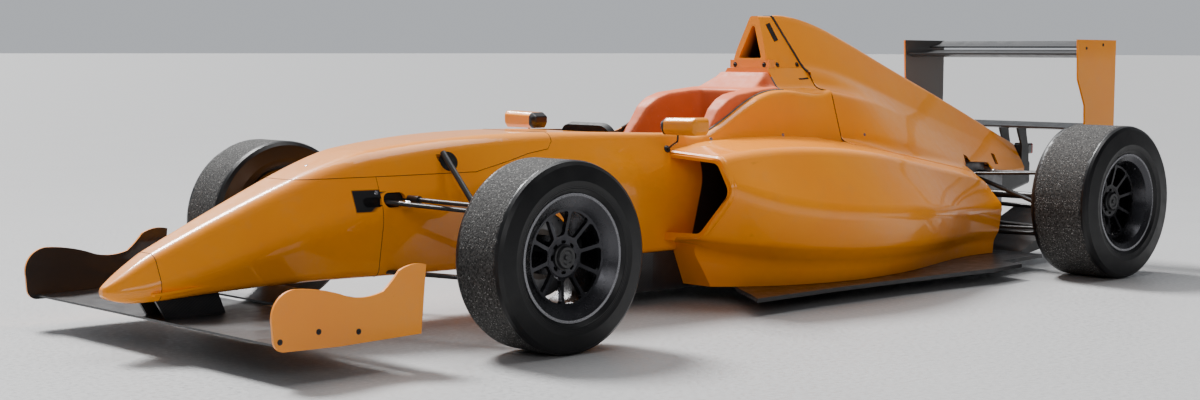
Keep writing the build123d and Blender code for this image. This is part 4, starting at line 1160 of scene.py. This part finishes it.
STAY = [(-850, 370, 580), (-850, 369, 560), (-855, 362, 553)]
STAY_RADIUS = 3.6
FOOT_PLACE = (-926, 243, 521)
FOOT = [(12.5, -2), (12.5, 2.5), (11.0, 4.0), (5.5, 5.0), (4.5, 9.0), (2.0, 10.0)]
stays = bmesh.new()
for side in SIDES:
    foot, away = seated((tub_tree,), *sided(side, [FOOT_PLACE])[0])
    path = [spot(*place) for place in sided(side, STAY)]
    tube(stays, path + [foot + away * 4 * MM], STAY_RADIUS, 12)
    lathe(stays, foot, away, FOOT)
stay_piece = piece("mirror_stay_rods", stays, satin_black, "chassis")
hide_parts("mirror_stays")

# The glass: how far out it stands in metres; its width, height, corners and half thickness in mm
GLASS_ACROSS = 0.398
GLASS = (136.0, 42.0, 8.0, 1.0)
mirror_low, mirror_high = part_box("mirrors")
glass = bmesh.new()
for side in SIDES:
    centre = Vector((mirror_low.x, side * GLASS_ACROSS, (mirror_low.z + mirror_high.z) / 2))
    rounded(glass, centre, -FORWARD, *GLASS)
piece("mirror_glasses", glass, mirror_glass(), "chassis")

# Wheel nuts and valves: radius, and height in mm from the nut's seat or from the rim's outer edge
NUT = [
    (37, -12), (37, -7), (33, -5), (31, 1), (29, 4), (21, 4), (19, 2), (17.5, 0.6),
    (8, 0.6), (8, 4), (6.5, 5.5),
]
NUT_SEATS = {"front": 65.0, "rear": 56.0}
VALVE = [(4.5, -62), (4.5, -40), (3.2, -38), (3.2, -26), (2.4, -25)]
VALVE_TURN = 2.2
VALVE_REACH = 0.152
for corner, (centre, half) in wheels.items():
    out = LEFT if centre.y > 0 else -LEFT
    seat = NUT_SEATS[corner.split("_")[0]]
    nut = bmesh.new()
    lathe(nut, centre, out, [(radius, seat + height) for radius, height in NUT], 32)
    piece(f"wheel_nut_{corner}", nut, satin_black, f"wheel_{corner}")
    valve = bmesh.new()
    foot = centre + Vector((cos(VALVE_TURN), 0, sin(VALVE_TURN))) * VALVE_REACH
    lathe(valve, foot, out, [(radius, half / MM + height) for radius, height in VALVE], 12)
    piece(f"valve_{corner}", valve, steel, f"wheel_{corner}")

# Lock nuts on the suspension rods, given by their inner and outer ends
RODS = [
    ((178, 150, 401), (0, 590, 375)), ((-230, 180, 410), (0, 590, 375)),
    ((159, 140, 191), (0, 590, 185)), ((-260, 150, 192), (0, 590, 185)),
    ((-2652, 100, 358), (-2698, 640, 384)), ((-2870, 100, 358), (-2698, 640, 384)),
    ((-2850, 100, 235), (-2820, 640, 232)), ((-2692, 100, 384), (-2650, 640, 232)),
    ((-2656, 100, 152), (-2668, 640, 172)), ((-2806, 100, 166), (-2668, 640, 172)),
]
FROM_INNER = 95
FROM_OUTER = 60
LOCK_NUT = [(8.61, -26), (8.61, -9), (10.5, -8, 6), (10.5, 8, 6), (8.61, 9), (8.4, 11)]
nuts = bmesh.new()
for side in SIDES:
    for ends in RODS:
        inner, outer = [spot(*end) for end in sided(side, ends)]
        along = (outer - inner).normalized()
        lathe(nuts, inner + along * FROM_INNER * MM, along, LOCK_NUT)
        lathe(nuts, outer - along * FROM_OUTER * MM, -along, LOCK_NUT)
piece("rod_lock_nuts", nuts, steel, "chassis")

# Floor
FLOOR_HALF = 300
floor_mesh = bmesh.new()
bmesh.ops.create_grid(floor_mesh, x_segments=2, y_segments=2, size=FLOOR_HALF)
floor = put("studio_floor", stored("studio_floor", floor_mesh))
look = Look("studio_floor")
shade = blend(look, noise(look, 2.0, 4.0), FLOOR_GREY, FLOOR_LIGHT)
look.set(Base_Color=shade, Roughness=noise(look, 60.0, 4.0))
floor.data.materials.append(look.material)

# Sky: pale on the car's right, where the key light stands, and dark on its left
world = bpy.data.worlds.new("studio")
sky = Nodes(world)
way = add(sky, "ShaderNodeTexCoord").outputs["Generated"]
across = add(sky, "ShaderNodeSeparateXYZ", {0: way}).outputs[1]
shade = blend(sky, span(sky, across, -0.35, 0.45), SKY_PALE, SKY_DARK)
sky.tree.links.new(shade, sky.tree.nodes["Background"].inputs["Color"])
bpy.context.scene.world = world

# Softboxes: name, place, size across and up in metres, watts; each looks at the car
AIM = Vector((0, 0, 0.4))
SOFTBOXES = (
    ("side", (4.5, 7.5, 3.5), 5.0, 2.5, 120.0),
    ("top", (-1.0, 0.0, 6.0), 5.0, 3.0, 220.0),
)
for name, place, width, height, watts in SOFTBOXES:
    lamp = bpy.data.lights.new(name, "AREA")
    lamp.shape = "RECTANGLE"
    lamp.size = width
    lamp.size_y = height
    lamp.energy = watts
    put(name, lamp).matrix_world = frame_at(Vector(place), Vector(place) - AIM)

# Wide soft key light from above the car's right side
KEY_PLACE = Vector((-0.5, -5.5, 6.5))
key = bpy.data.lights.new("key", "SUN")
key.energy = 7.4
key.angle = radians(18)
put("key", key).matrix_world = frame_at(KEY_PLACE, KEY_PLACE)

# Camera fitted to the four wheels of the photograph: place in mm, heading, pitch and roll in radians
CAMERA_PLACE = (3430.2, 4615.1, 849.5)
HEADING, PITCH, ROLL = -2.3185, 0.1051, 0.0019
camera_data = bpy.data.cameras.new("camera")
camera_data.sensor_width = 36.0
camera_data.lens = 55.76
camera_data.shift_y = 0.038
level = Vector((cos(HEADING) * cos(PITCH), sin(HEADING) * cos(PITCH), -sin(PITCH)))
right = Vector((sin(HEADING), -cos(HEADING), 0))
above = right.cross(level)
rolled = right * cos(ROLL) + above * sin(ROLL)
above = above * cos(ROLL) - right * sin(ROLL)
camera = put("camera", camera_data)
turn = Matrix((rolled, above, -level)).transposed().to_4x4()
camera.matrix_world = Matrix.Translation(spot(*CAMERA_PLACE)) @ turn
bpy.context.scene.camera = camera
